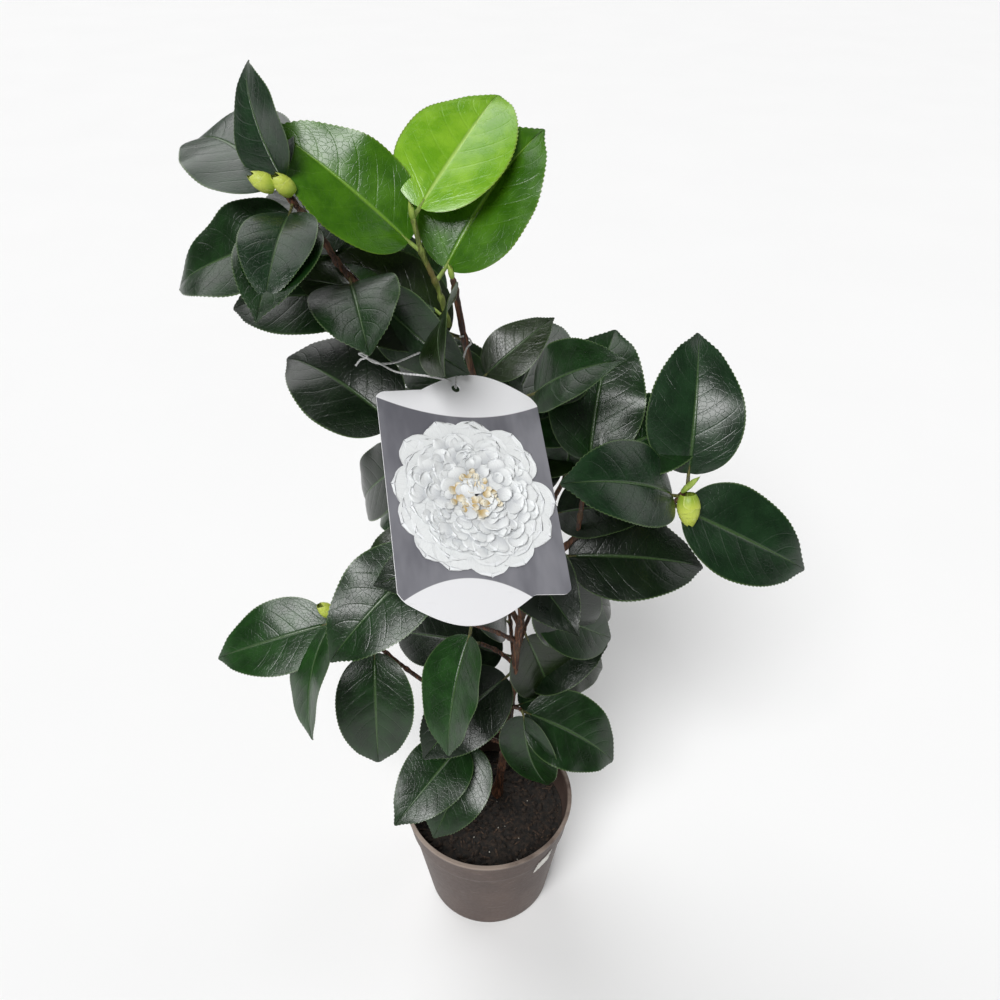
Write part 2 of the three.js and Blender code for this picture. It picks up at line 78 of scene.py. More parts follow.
class Tree:
    """A node tree being wired, for a material or for a shared group."""

    def __init__(self, tree: NodeTree) -> None:
        """Keeps the tree."""
        self.tree = tree

    def give(self, socket: NodeSocket, value: object) -> None:
        """Links a socket to an input, or sets the input to a plain value."""
        if isinstance(value, NodeSocket):
            self.tree.links.new(value, socket)
        else:
            socket.default_value = value

    def node(self, kind: str, **inputs: object) -> Node:
        """Adds a node.

        Args:
            kind: The node's type name without its ShaderNode prefix.
            inputs: Properties, or input sockets named with underscores for spaces.

        Returns:
            The new node.
        """
        made = self.tree.nodes.new(kind if kind.startswith("Node") else "ShaderNode" + kind)
        for name, value in inputs.items():
            socket = made.inputs.get(name.replace("_", " "))
            if socket is None:
                setattr(made, name, value)
            else:
                self.give(socket, value)
        return made

    def math(self, operation: str, *values: object, clamp: bool = False) -> NodeSocket:
        """Adds a Math node and returns its value.

        Args:
            operation: The Math node's operation.
            values: Its inputs in order, as numbers or sockets.
            clamp: Whether the result stays between 0 and 1.

        Returns:
            The result's socket.
        """
        made = self.tree.nodes.new("ShaderNodeMath")
        made.operation = operation
        made.use_clamp = clamp
        for socket, value in zip(made.inputs, values):
            self.give(socket, value)
        return made.outputs[0]

    def step(self, value: object, low: float, high: float) -> NodeSocket:
        """A smooth rise from 0 at low to 1 at high; a fall where high is under low.

        Args:
            value: What is measured.
            low: Where the result is 0.
            high: Where the result is 1.

        Returns:
            The result's socket.
        """
        made = self.node("MapRange", interpolation_type="SMOOTHSTEP", Value=value)
        made.inputs["From Min"].default_value = min(low, high)
        made.inputs["From Max"].default_value = max(low, high)
        made.inputs["To Min"].default_value = 0.0 if low < high else 1.0
        made.inputs["To Max"].default_value = 1.0 if low < high else 0.0
        return made.outputs["Result"]

    def mix(self, share: object, first: object, second: object) -> NodeSocket:
        """Mixes two colours.

        Args:
            share: The second colour's share.
            first: A colour or a socket.
            second: A colour or a socket.

        Returns:
            The mixed colour's socket.
        """
        made = self.tree.nodes.new("ShaderNodeMix")
        made.data_type = "RGBA"
        for socket, value in ((made.inputs[0], share), (made.inputs[6], first), (made.inputs[7], second)):
            self.give(socket, (*value[:3], 1) if isinstance(value, tuple) else value)
        return made.outputs[2]

    def noise(
        self, vector: object, scale: float, detail: float = 4, rough: float = 0.5
    ) -> NodeSocket:
        """Noise from 0 to 1.

        Args:
            vector: The coordinates.
            scale: Its scale.
            detail: Its octaves.
            rough: How strong the finer octaves are.

        Returns:
            The value's socket.
        """
        made = self.node("TexNoise", Vector=vector, Scale=scale, Detail=detail, Roughness=rough)
        return made.outputs[0]

    def stretch(self, vector: object, scale: tuple[float, float, float]) -> NodeSocket:
        """Coordinates scaled along each axis."""
        return self.node("Mapping", Vector=vector, Scale=scale).outputs[0]

    def bump(self, height: object, distance: float, strength: float = 1.0) -> NodeSocket:
        """A normal from a height.

        Args:
            height: The height from 0 to 1.
            distance: The depth that 1 stands for, in metres.
            strength: The bump's strength.

        Returns:
            The normal's socket.
        """
        return self.node("Bump", Height=height, Distance=distance, Strength=strength).outputs[0]

    def end(self, out: Node, **values: NodeSocket) -> NodeTree:
        """Links a group's values to its outputs.

        Args:
            out: The group's output node.
            values: Each output's value.

        Returns:
            The group's tree.
        """
        for name, value in values.items():
            self.tree.links.new(value, out.inputs[name])
        return self.tree


class Group:
    """A shader node group with named inputs and outputs, built once."""

    made: dict[str, NodeTree] = {}

    @classmethod
    def use(cls, tree: Tree, name: str, **inputs: object) -> Node:
        """Places a group in a tree.

        Args:
            tree: The tree that takes it.
            name: The group's name, which is also its building method's.
            inputs: Its inputs, as numbers or sockets.

        Returns:
            The group's node.
        """
        if name not in cls.made:
            cls.made[name] = getattr(cls, name)()
        node = tree.tree.nodes.new("ShaderNodeGroup")
        node.node_tree = cls.made[name]
        for key, value in inputs.items():
            tree.give(node.inputs[key.replace("_", " ")], value)
        return node

    @staticmethod
    def _start(
        name: str, inputs: dict[str, float | None], outputs: tuple[str, ...]
    ) -> tuple[Tree, object, object]:
        """Makes an empty group.

        Args:
            name: Its name.
            inputs: Each input's usual value, or None for a vector.
            outputs: The names of its value outputs.

        Returns:
            The tree, its input node and its output node.
        """
        group = bpy.data.node_groups.new(name, "ShaderNodeTree")
        for key, value in inputs.items():
            kind = "NodeSocketVector" if value is None else "NodeSocketFloat"
            socket = group.interface.new_socket(key, in_out="INPUT", socket_type=kind)
            if value is not None:
                socket.default_value = value
        for key in outputs:
            group.interface.new_socket(key, in_out="OUTPUT", socket_type="NodeSocketFloat")
        tree = Tree(group)
        return tree, group.nodes.new("NodeGroupInput"), group.nodes.new("NodeGroupOutput")

    @classmethod
    def leaf_pattern(cls) -> NodeTree:
        """Where a blade's midrib, veins, net, margin and back are, from its own map."""
        t, given, out = cls._start(
            "leaf_pattern",
            {"Map": None, "Pairs": 8.0, "Mottle Scale": 3.0},
            ("Back", "Midrib", "Vein", "Net", "Margin", "Mottle", "Height"),
        )
        parts = t.node("SeparateXYZ", Vector=given.outputs["Map"])
        x, along = parts.outputs[0], parts.outputs[1]
        back = t.math("GREATER_THAN", x, 0.5)
        signed = t.math("MULTIPLY_ADD", t.math("MULTIPLY_ADD", back, -0.5, x), 4.1667, -1.0417)
        across = t.math("ABSOLUTE", signed)
        midrib = t.step(t.math("DIVIDE", across, t.math("MULTIPLY_ADD", along, -0.035, 0.065)), 1.0, 0.15)
        swept = t.math("MULTIPLY", across, t.math("MULTIPLY_ADD", across, 0.1, 0.15))
        side = t.math("MULTIPLY", t.math("GREATER_THAN", signed, 0.0), 0.42)
        phase = t.math("MULTIPLY_ADD", t.math("SUBTRACT", along, swept), given.outputs["Pairs"], side)
        away = t.math("ABSOLUTE", t.math("SUBTRACT", t.math("FRACT", phase), 0.5))
        fine = t.math("MULTIPLY_ADD", across, -0.05, 0.1)
        ridge = t.step(t.math("DIVIDE", away, fine), 1.0, 0.1)
        reach = t.math("MULTIPLY", t.step(across, 0.93, 0.72), t.step(along, 0.97, 0.85))
        vein = t.math("MULTIPLY", ridge, t.math("MULTIPLY", reach, t.step(along, 0.02, 0.08)))
        place = t.stretch(given.outputs["Map"], (2.2, 1.8, 1))
        cells = t.node("TexVoronoi", Vector=place, feature="DISTANCE_TO_EDGE", Scale=17.0)
        net = t.step(cells.outputs["Distance"], 0.09, 0.0)
        margin = t.step(across, 0.955, 0.99)
        mottle = t.noise(place, given.outputs["Mottle Scale"], 3, 0.6)
        sunk = t.math("ADD", t.math("MULTIPLY", midrib, 0.5), t.math("MULTIPLY", vein, 0.14))
        sunk = t.math("MULTIPLY_ADD", net, 0.07, sunk)
        face = t.math("SUBTRACT", 1.0, sunk)
        raised = t.math("MULTIPLY", face, t.math("SUBTRACT", 1.0, back))
        height = t.math("ADD", raised, t.math("MULTIPLY", sunk, back))
        return t.end(
            out, Back=back, Midrib=midrib, Vein=vein, Net=net, Margin=margin, Mottle=mottle, Height=height
        )

    @classmethod
    def wear(cls) -> NodeTree:
        """Broad stains, fine grain and scattered scuffs, from any coordinates."""
        t, given, out = cls._start("wear", {"Vector": None, "Scale": 10.0}, ("Stain", "Grain", "Scuff"))
        place = given.outputs["Vector"]
        stain = t.noise(place, given.outputs["Scale"], 5, 0.6)
        wide = t.math("MULTIPLY", given.outputs["Scale"], 22.0)
        grain = t.noise(place, wide, 3, 0.6)
        closer = t.math("MULTIPLY", given.outputs["Scale"], 4.0)
        streak = t.noise(t.stretch(place, (1, 1, 7)), closer, 3, 0.7)
        return t.end(out, Stain=stain, Grain=grain, Scuff=t.step(streak, 0.6, 0.72))

    @classmethod
    def bark_pattern(cls) -> NodeTree:
        """Lengthwise fissures, pale flecks and patches of older bark."""
        t, given, out = cls._start("bark_pattern", {"Vector": None}, ("Fissure", "Fleck", "Patch", "Height"))
        place = given.outputs["Vector"]
        streaks = t.noise(t.stretch(place, (1, 1, 0.14)), 620.0, 4, 0.65)
        fissure = t.step(streaks, 0.42, 0.6)
        fleck = t.step(t.noise(t.stretch(place, (1, 1, 0.5)), 900.0, 2, 0.5), 0.66, 0.74)
        patch = t.noise(place, 42.0, 4, 0.6)
        height = t.math("MULTIPLY_ADD", fleck, 0.4, fissure)
        return t.end(out, Fissure=fissure, Fleck=fleck, Patch=patch, Height=height)


Colour = tuple[float, float, float]


@dataclass(frozen=True)
class Finish:
    """What every finish shares: a name and the shader's plain values."""

    name: str
    roughness: float = 0.5
    coat: float = 0.0
    coat_roughness: float = 0.2
    specular: float = 0.5

    def start(self) -> tuple[Material, Tree, Node]:
        """Makes the material.

        Returns:
            The material, its tree and its shader.
        """
        material = bpy.data.materials.new(self.name)
        material.use_nodes = True
        tree = Tree(material.node_tree)
        shader = material.node_tree.nodes["Principled BSDF"]
        shader.inputs["Roughness"].default_value = self.roughness
        shader.inputs["Coat Weight"].default_value = self.coat
        shader.inputs["Coat Roughness"].default_value = self.coat_roughness
        shader.inputs["Specular IOR Level"].default_value = self.specular
        return material, tree, shader

    def join(self, tree: Tree, shader: Node, **sockets: object) -> None:
        """Links values to the shader's inputs, named with underscores for spaces."""
        for name, value in sockets.items():
            tree.tree.links.new(value, shader.inputs[name.replace("_", " ")])


@dataclass(frozen=True)
class LeafFinish(Finish):
    """A glossy blade: its face, its duller back, and its ribs, net and margin."""

    face: Colour = (0.02, 0.05, 0.02)
    deep: Colour = (0.01, 0.03, 0.01)
    rib: Colour = (0.05, 0.1, 0.03)
    edge: Colour = (0.07, 0.12, 0.04)
    back: Colour = (0.05, 0.085, 0.035)
    roughness: float = 0.3
    back_roughness: float = 0.5
    coat: float = 0.06
    relief: float = 0.0006
    rib_share: float = 0.8
    vein_share: float = 0.02

    def material(self) -> Material:
        """The leaf's material."""
        material, t, shader = self.start()
        place = t.node("UVMap", uv_map=LEAF_MAP).outputs[0]
        p = Group.use(t, "leaf_pattern", Map=place).outputs
        tone = t.mix(t.step(p["Mottle"], 0.32, 0.68), self.deep, self.face)
        veins = t.math("MULTIPLY", p["Vein"], self.vein_share)
        ribs = t.math("MULTIPLY_ADD", p["Midrib"], self.rib_share, veins, clamp=True)
        upper = t.mix(ribs, tone, self.rib)
        pale = tuple(min(1.0, 1.45 * c + 0.01) for c in self.back)
        lower = t.mix(t.math("MULTIPLY_ADD", p["Vein"], 0.45, p["Midrib"], clamp=True), self.back, pale)
        lower = t.mix(t.math("MULTIPLY", p["Net"], 0.25), lower, pale)
        body = t.mix(p["Back"], upper, lower)
        colour = t.mix(t.math("MULTIPLY", p["Margin"], 0.85), body, self.edge)
        spread = t.math("MULTIPLY_ADD", p["Mottle"], 0.16, self.roughness - 0.08)
        rough = t.math("MULTIPLY_ADD", p["Back"], self.back_roughness - self.roughness, spread)
        normal = t.bump(p["Height"], self.relief)
        self.join(t, shader, Base_Color=colour, Roughness=rough, Normal=normal)
        return material


@dataclass(frozen=True)
class WoodFinish(Finish):
    """Bark, from its deep tone to its raised one, with pale flecks."""

    deep: Colour = (0.03, 0.012, 0.006)
    raised: Colour = (0.16, 0.065, 0.03)
    patch: Colour = (0.11, 0.07, 0.035)
    fleck: Colour = (0.3, 0.2, 0.12)
    roughness: float = 0.62
    relief: float = 0.0006

    def material(self) -> Material:
        """The bark's material."""
        material, t, shader = self.start()
        place = t.node("TexCoord").outputs["Object"]
        p = Group.use(t, "bark_pattern", Vector=place).outputs
        tone = t.mix(p["Fissure"], self.deep, self.raised)
        tone = t.mix(t.step(p["Patch"], 0.5, 0.7), tone, self.patch)
        colour = t.mix(t.math("MULTIPLY", p["Fleck"], 0.6), tone, self.fleck)
        rough = t.math("MULTIPLY_ADD", p["Fissure"], 0.18, self.roughness - 0.1)
        self.join(t, shader, Base_Color=colour, Roughness=rough, Normal=t.bump(p["Height"], self.relief))
        return material


@dataclass(frozen=True)
class MouldedFinish(Finish):
    """Moulded plastic with dust in its grain, and a paler rubbed rim."""

    colour: Colour = (0.1, 0.065, 0.052)
    stain: Colour = (0.065, 0.042, 0.034)
    rubbed: Colour = (0.3, 0.24, 0.2)
    rim_height: float = 0.12
    roughness: float = 0.5
    relief: float = 0.0002

    def material(self) -> Material:
        """The plastic's material."""
        material, t, shader = self.start()
        place = t.node("TexCoord").outputs["Object"]
        p = Group.use(t, "wear", Vector=place, Scale=14.0).outputs
        tone = t.mix(t.step(p["Stain"], 0.35, 0.7), self.stain, self.colour)
        height = t.node("SeparateXYZ", Vector=place).outputs[2]
        rim = t.step(height, self.rim_height - 0.0035, self.rim_height - 0.0008)
        broken = t.math("MULTIPLY", rim, t.step(p["Stain"], 0.3, 0.52))
        scuff = t.math("MULTIPLY", p["Scuff"], 0.3)
        colour = t.mix(t.math("MAXIMUM", t.math("MULTIPLY", broken, 0.9), scuff), tone, self.rubbed)
        rough = t.math("MULTIPLY_ADD", p["Grain"], 0.2, self.roughness - 0.1)
        self.join(t, shader, Base_Color=colour, Roughness=rough, Normal=t.bump(p["Grain"], self.relief))
        return material


@dataclass(frozen=True)
class CrumbFinish(Finish):
    """Loose earthy matter between two tones."""

    dark: Colour = (0.004, 0.003, 0.002)
    light: Colour = (0.03, 0.018, 0.011)
    scale: float = 260.0
    roughness: float = 0.92
    relief: float = 0.0012

    def material(self) -> Material:
        """The matter's material."""
        material, t, shader = self.start()
        place = t.node("TexCoord").outputs["Object"]
        p = Group.use(t, "wear", Vector=place, Scale=self.scale / 10).outputs
        grit = t.noise(place, self.scale, 5, 0.7)
        colour = t.mix(t.step(grit, 0.4, 0.72), self.dark, self.light)
        rough = t.math("MULTIPLY_ADD", p["Grain"], 0.12, self.roughness - 0.08)
        self.join(t, shader, Base_Color=colour, Roughness=rough, Normal=t.bump(grit, self.relief))
        return material


@dataclass(frozen=True)
class MappedFinish(Finish):
    """A small repeated blade, such as a bud scale or a petal, coloured from root to tip on its own map; on
    the tag's petals the grey root is painted shade and printed shading.
    """

    root: Colour = (0.3, 0.4, 0.1)
    tip: Colour = (0.6, 0.65, 0.2)
    edge: Colour = (0.7, 0.7, 0.4)
    turn: float = 0.5
    lines: float = 20.0
    relief: float = 0.0002

    def material(self) -> Material:
        """The scale's or petal's material."""
        material, t, shader = self.start()
        place = t.node("UVMap", uv_map=LEAF_MAP).outputs[0]
        parts = t.node("SeparateXYZ", Vector=place)
        x, y = parts.outputs[0], parts.outputs[1]
        tone = t.mix(t.step(y, self.turn - 0.35, self.turn + 0.35), self.root, self.tip)
        across = t.math("ABSOLUTE", t.math("MULTIPLY_ADD", x, 2.0, -1.0))
        rim = t.math("MAXIMUM", t.step(across, 0.86, 0.98), t.step(y, 0.9, 0.98))
        grain = t.noise(t.stretch(place, (self.lines, 3, 1)), 1.6, 3, 0.6)
        tone = t.mix(t.math("MULTIPLY", t.step(grain, 0.45, 0.75), 0.3), tone, self.root)
        colour = t.mix(t.math("MULTIPLY", rim, 0.8), tone, self.edge)
        self.join(t, shader, Base_Color=colour, Normal=t.bump(grain, self.relief))
        return material


# ------------------------------------------------------------------ mesh work


def grid(rows: int, columns: int, around: bool = False, flip: bool = False) -> np.ndarray:
    """The four-sided faces of a sheet of vertices stored row by row.

    Args:
        rows: How many rows of vertices.
        columns: How many vertices in a row.
        around: Whether each row closes on itself.
        flip: Whether the faces look the other way.

    Returns:
        Vertex numbers, one row for each face.
    """
    across = columns if around else columns - 1
    i, j = np.meshgrid(np.arange(rows - 1), np.arange(across), indexing="ij")
    a = i * columns + j
    b = i * columns + (j + 1) % columns
    faces = np.stack([a, b, b + columns, a + columns], -1).reshape(-1, 4)
    return faces[:, ::-1] if flip else faces


def in_scene(name: str, data: bpy.types.ID) -> Object:
    """Makes an object and links it to the scene.

    Args:
        name: Its name.
        data: Its mesh, light or camera.

    Returns:
        The new object.
    """
    made = bpy.data.objects.new(name, data)
    bpy.context.scene.collection.objects.link(made)
    return made


class Pile:
    """Vertices and four-sided faces gathered for one piece, in millimetres."""

    def __init__(self) -> None:
        """Starts empty."""
        self.points: list[np.ndarray] = []
        self.faces: list[np.ndarray] = []
        self.places: list[np.ndarray] = []
        self.count = 0

    def add(self, points: np.ndarray, faces: np.ndarray, places: np.ndarray | None = None) -> None:
        """Adds a sheet.

        Args:
            points: Its vertices.
            faces: Its faces' vertex numbers.
            places: Each vertex's place on the piece's own map.
        """
        points = np.asarray(points, float).reshape(-1, 3)
        self.points.append(points)
        self.faces.append(faces + self.count)
        if places is not None:
            self.places.append(np.asarray(places, float).reshape(-1, 2))
        self.count += len(points)

    def piece(
        self,
        name: str,
        material: Material,
        slot: Slot,
        replaces: tuple[str, ...] = (),
        crease: float = 50,
    ) -> Object:
        """Makes the object, which rides on the one body.

        Args:
            name: The piece's name.
            material: Its material.
            slot: The record's finish it stands for; not used.
            replaces: The CAD nodes it stands for.
            crease: Edges sharper than this many degrees stay sharp.

        Returns:
            The new object.
        """
        points = np.concatenate(self.points) * MM
        faces = np.concatenate(self.faces)
        mesh = bpy.data.meshes.new(name)
        mesh.vertices.add(len(points))
        mesh.vertices.foreach_set("co", points.ravel())
        mesh.loops.add(faces.size)
        mesh.loops.foreach_set("vertex_index", faces.ravel().astype(np.int32))
        mesh.polygons.add(len(faces))
        mesh.polygons.foreach_set("loop_start", np.arange(0, faces.size, 4, dtype=np.int32))
        mesh.update(calc_edges=True)
        if self.places:
            layer = mesh.uv_layers.new(name=LEAF_MAP)
            layer.data.foreach_set("uv", np.concatenate(self.places)[faces.ravel()].ravel())
        mesh.validate()
        mesh.shade_smooth()
        mesh.set_sharp_from_angle(angle=math.radians(crease))
        mesh.materials.append(material)
        made = in_scene(name, mesh)
        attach(made, ROOT)
        if replaces:
            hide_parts(*replaces)
        log.info("%s: %d faces", name, len(faces))
        return made


def unit(v: np.ndarray) -> np.ndarray:
    """Vectors of length 1 along the last axis."""
    return v / np.maximum(np.linalg.norm(v, axis=-1, keepdims=True), 1e-12)


def blade_map(s: np.ndarray, v: np.ndarray) -> np.ndarray:
    """Each vertex's place on a small blade's own map, just inside its border.

    Args:
        s: Shares of its length.
        v: Places across it, from -1 to 1.

    Returns:
        The places, across and along.
    """
    return np.stack(np.broadcast_arrays((v + 1) / 2 * 0.96 + 0.02, s * 0.96 + 0.02), -1)


def wave3(points: np.ndarray, scale: float, seed: float = 0.0) -> np.ndarray:
    """Smooth noise from -1 to 1 at each point.

    Args:
        points: The places.
        scale: Waves per unit of length.
        seed: An offset that picks another pattern.

    Returns:
        One value for each point.
    """
    flat = points.reshape(-1, 3) * scale + seed
    return np.array([noise.noise(p) for p in flat]).reshape(points.shape[:-1])


def tube(
    points: np.ndarray, radii: np.ndarray, sides: int, relief: np.ndarray | None = None
) -> tuple[np.ndarray, np.ndarray, np.ndarray]:
    """A skin round a line, with rings that don't twist, closed to near points at its ends.

    Args:
        points: The line.
        radii: Its radius at each point.
        sides: Vertices in a ring.
        relief: How far each vertex stands proud, one row for each point.

    Returns:
        Vertices, faces and each vertex's outward direction.
    """
    along = unit(np.gradient(points, axis=0))
    side = unit(np.cross(along[0], (0.3, 1.0, 0.2)))
    sides_way = []
    for t in along:
        side = unit(side - t * float(side @ t))
        sides_way.append(side)
    first = np.array(sides_way)
    second = np.cross(along, first)
    turn = TURN * np.arange(sides) / sides
    out = first[:, None] * np.cos(turn)[None, :, None] + second[:, None] * np.sin(turn)[None, :, None]
    reach = radii[:, None] + (relief if relief is not None else 0)
    rings = points[:, None] + out * reach[..., None]
    tips = [points[0] + out[0] * 0.02, points[-1] + out[-1] * 0.02]
    rings = np.concatenate([tips[0][None], rings, tips[1][None]])
    return rings, grid(len(rings), sides, around=True), out


# ------------------------------------------------------------------ the plant's plan


@dataclass(frozen=True)
class Course:
    """The line a limb follows, and its radius at root and end."""

    way: tuple[tuple[float, float, float], ...]
    root: float
    end: float

    def line(self, steps: int = 40) -> "Line":
        """The course as a smooth line.

        Args:
            steps: Points for each stretch between two knots.

        Returns:
            The line.
        """
        knots = np.array(self.way, float)
        ends = np.vstack([2 * knots[0] - knots[1], knots, 2 * knots[-1] - knots[-2]])
        t = np.linspace(0, 1, steps, endpoint=False)[:, None]
        runs = []
        for a, b, c, d in zip(ends, ends[1:], ends[2:], ends[3:]):
            g, h, k = (math.sqrt(np.linalg.norm(q - p)) for p, q in ((a, b), (b, c), (c, d)))
            start = ((b - a) / g - (c - a) / (g + h) + (c - b) / h) * h
            stop = ((c - b) / h - (d - b) / (h + k) + (d - c) / k) * h
            square = 3 * (c - b) - 2 * start - stop
            cube = 2 * (b - c) + start + stop
            runs.append(b + start * t + square * t**2 + cube * t**3)
        return Line(np.vstack([*runs, knots[-1:]]))


class Line:
    """A smooth line measured along its length."""

    def __init__(self, points: np.ndarray) -> None:
        """Measures the line."""
        self.points = points
        self.reach = np.r_[0, np.cumsum(np.linalg.norm(np.diff(points, axis=0), axis=1))]
        self.length = float(self.reach[-1])

    def at(self, share: object) -> np.ndarray:
        """The point or points at a share of the length."""
        s = np.asarray(share, float) * self.length
        return np.stack([np.interp(s, self.reach, self.points[:, k]) for k in range(3)], -1)

    def way(self, share: float) -> np.ndarray:
        """The direction at a share of the length."""
        return unit(self.at(min(1, share + 0.01)) - self.at(max(0, share - 0.01)))


COURSES: dict[str, Course] = {
    "trunk": Course(((8, 16, 97), (15, 12, 170), (20, 8, 235), (24, 4, 305), (27, 1, 338)), 3.8, 3.0),
    "leader": Course(((27, 1, 338), (23, 0, 400), (9, 0, 480), (-8, 1, 550), (-17, 1, 606)), 2.8, 1.9),
    "top_left": Course(
        ((-18, 2, 566), (-50, 6, 584), (-78, 4, 606), (-92, -4, 636), (-106, -10, 660)), 2.2, 1.6
    ),
    "new_shoot": Course(((-20, 1, 575), (-26, 1, 600), (-34, -1, 622), (-38, -1, 642)), 1.8, 1.4),
    "mid_left": Course(((20, 0, 398), (-10, -8, 404), (-34, -12, 420), (-50, -10, 508)), 2.0, 1.4),
    "right_upper": Course(((6, 0, 495), (16, 4, 512), (27, 6, 524)), 1.8, 1.4),
    "right": Course(
        ((28, 1, 338), (44, 2, 378), (66, 4, 412), (102, 3, 432), (130, -2, 446), (138, 0, 458)), 2.5, 1.7
    ),
    "right_mid": Course(((66, 4, 415), (68, 6, 445), (71, 6, 475)), 1.8, 1.4),
    "right_low": Course(((25, 4, 300), (32, 20, 312), (40, 30, 325)), 1.8, 1.4),
    "right_base": Course(((20, 8, 235), (28, 20, 245), (34, 32, 256)), 1.8, 1.4),
    "pot_right": Course(((19, 9, 222), (24, 2, 232), (28, -6, 238)), 1.8, 1.4),
    "pot_left": Course(((15, 12, 172), (0, 6, 188), (-16, 0, 200)), 1.8, 1.4),
    "left": Course(
        ((16, 11, 185), (-20, 2, 232), (-58, -4, 278), (-90, -6, 318), (-116, -6, 342)), 2.1, 1.4
    ),
    "centre_front": Course(((24, 4, 306), (8, -14, 334), (-10, -30, 358)), 1.8, 1.4),
    "centre_back": Course(((22, 5, 280), (8, 14, 286), (-5, 18, 290)), 1.8, 1.4),
    "behind_tag": Course(((20, 0, 415), (14, -18, 425), (8, -32, 435)), 1.8, 1.4),
    "back_upper": Course(((9, 0, 480), (12, 22, 488), (8, 48, 486)), 1.9, 1.4),
    "back_mid": Course(((16, 0, 440), (12, 40, 450), (0, 78, 452)), 2.0, 1.4),
    "back_left": Course(((26, 2, 325), (0, 35, 360), (-28, 68, 400)), 2.2, 1.5),
    "back_right": Course(((23, 0, 395), (48, 34, 418), (70, 70, 440)), 2.2, 1.5),
    "back_low": Course(((17, 10, 205), (22, 38, 240), (18, 68, 285)), 2.1, 1.5),
}
LINES: dict[str, Line] = {name: course.line() for name, course in COURSES.items()}


class Tone(Enum):
    """The leaf colours, dealt out by spray."""

    # Painted light: one young leaf's green brightened for the sky light and backlight that fall on it
    NEW_GREEN_PAINTED_LIT = "bright"
    # Young-leaf green, partly real and partly painted backlit glow
    FRESH_PAINTED_BACKLIT = "fresh"
    LUSH = "lush"
    DARK = "dark"
    COOL = "cool"
    OLIVE = "olive"
    BLACK = "black"


@dataclass(frozen=True)
class Leaf:
    """A leaf on the side that shows.

    `turn` is the way it points in the plane that faces the light (0 = right, 90 = up and back), `lean`
    how far it rises out of that plane to the light, `roll` how far its face turns from the sky, and
    `size` its length against the usual leaf's.
    """

    turn: float
    lean: float
    roll: float = 0
    size: float = 1


@dataclass(frozen=True)
class Blade:
    """A leaf as grown: its place, its directions, its size and the small differences of its form."""

    root: np.ndarray
    along: np.ndarray
    side: np.ndarray
    length: float
    arch: float
    fold: float
    stalk: float
    width: float
    bend: float
    twist: float
    droop: float
    point: float


@dataclass(frozen=True)
class Spray:
    """One foliage mass's leaves, spaced evenly along a stretch of a course.

    Where `spiral` is more than nought the leaves aren't listed: that many grow round the course, each
    turned on from the last by the same divergence.
    """

    course: str
    tone: Tone
    first: float
    last: float
    leaves: tuple[Leaf, ...] = ()
    spiral: int = 0
    start: float = 0


@dataclass(frozen=True)
class Habit:
    """How the plant sets its leaves."""

    usual_length: float = 95.0
    light_height: float = 36.0
    sky: tuple[float, float, float] = (0.0, -0.6, 0.8)
    divergence: float = 137.5
    spread: float = 58.0
    sag: float = 0.25
    spiral_size: float = 0.86

    def listed(self, leaf: Leaf) -> np.ndarray:
        """The way a listed leaf points."""
        height, turn, lean = (math.radians(a) for a in (self.light_height, leaf.turn, leaf.lean))
        back = np.array([0.0, math.sin(height), math.cos(height)])
        front = np.array([0.0, -math.cos(height), math.sin(height)])
        flat = math.cos(turn) * np.array([1.0, 0.0, 0.0]) + math.sin(turn) * back
        return math.cos(lean) * flat + math.sin(lean) * front

    def spiralled(self, way: np.ndarray, turn: float) -> np.ndarray:
        """The way a leaf points that stands round a limb.

        Args:
            way: The limb's direction.
            turn: Its turn round the limb, in degrees.

        Returns:
            A unit vector.
        """
        first = unit(np.cross(way, (0.0, 0.0, 1.0)))
        second = np.cross(first, way)
        angle, spread = math.radians(turn), math.radians(self.spread)
        out = math.cos(angle) * first + math.sin(angle) * second
        return unit(math.cos(spread) * way + math.sin(spread) * out - np.array([0, 0, self.sag]))

    def grow(self, name: str, spray: Spray) -> list[Blade]:
        """Grows a spray's leaves.

        Args:
            name: The spray's name, which seeds its small differences.
            spray: The spray.

        Returns:
            Its leaves, base to tip.
        """
        dealt = random.Random(name)
        line = LINES[spray.course]
        count = spray.spiral or len(spray.leaves)
        blades = []
        for number in range(count):
            place = spray.first + (spray.last - spray.first) * number / max(1, count - 1)
            if spray.spiral:
                along = self.spiralled(line.way(place), spray.start + number * self.divergence)
                roll, size = 0.0, self.spiral_size
            else:
                leaf = spray.leaves[number]
                along, roll, size = self.listed(leaf), math.radians(leaf.roll), leaf.size
            level = unit(np.cross(along, self.sky))
            side = level * math.cos(roll) + np.cross(along, level) * math.sin(roll)
            blades.append(
                Blade(
                    root=line.at(place),
                    along=along,
                    side=side,
                    length=self.usual_length * size * dealt.uniform(0.98, 1.02),
                    arch=dealt.uniform(28, 58),
                    fold=dealt.uniform(4, 15),
                    stalk=dealt.uniform(7, 10),
                    width=dealt.uniform(0.58, 0.66),
                    bend=dealt.uniform(-12, 12),
                    twist=dealt.uniform(-14, 14),
                    droop=dealt.uniform(-6, 8),
                    point=dealt.uniform(0.8, 1.0),
                )
            )
        return blades


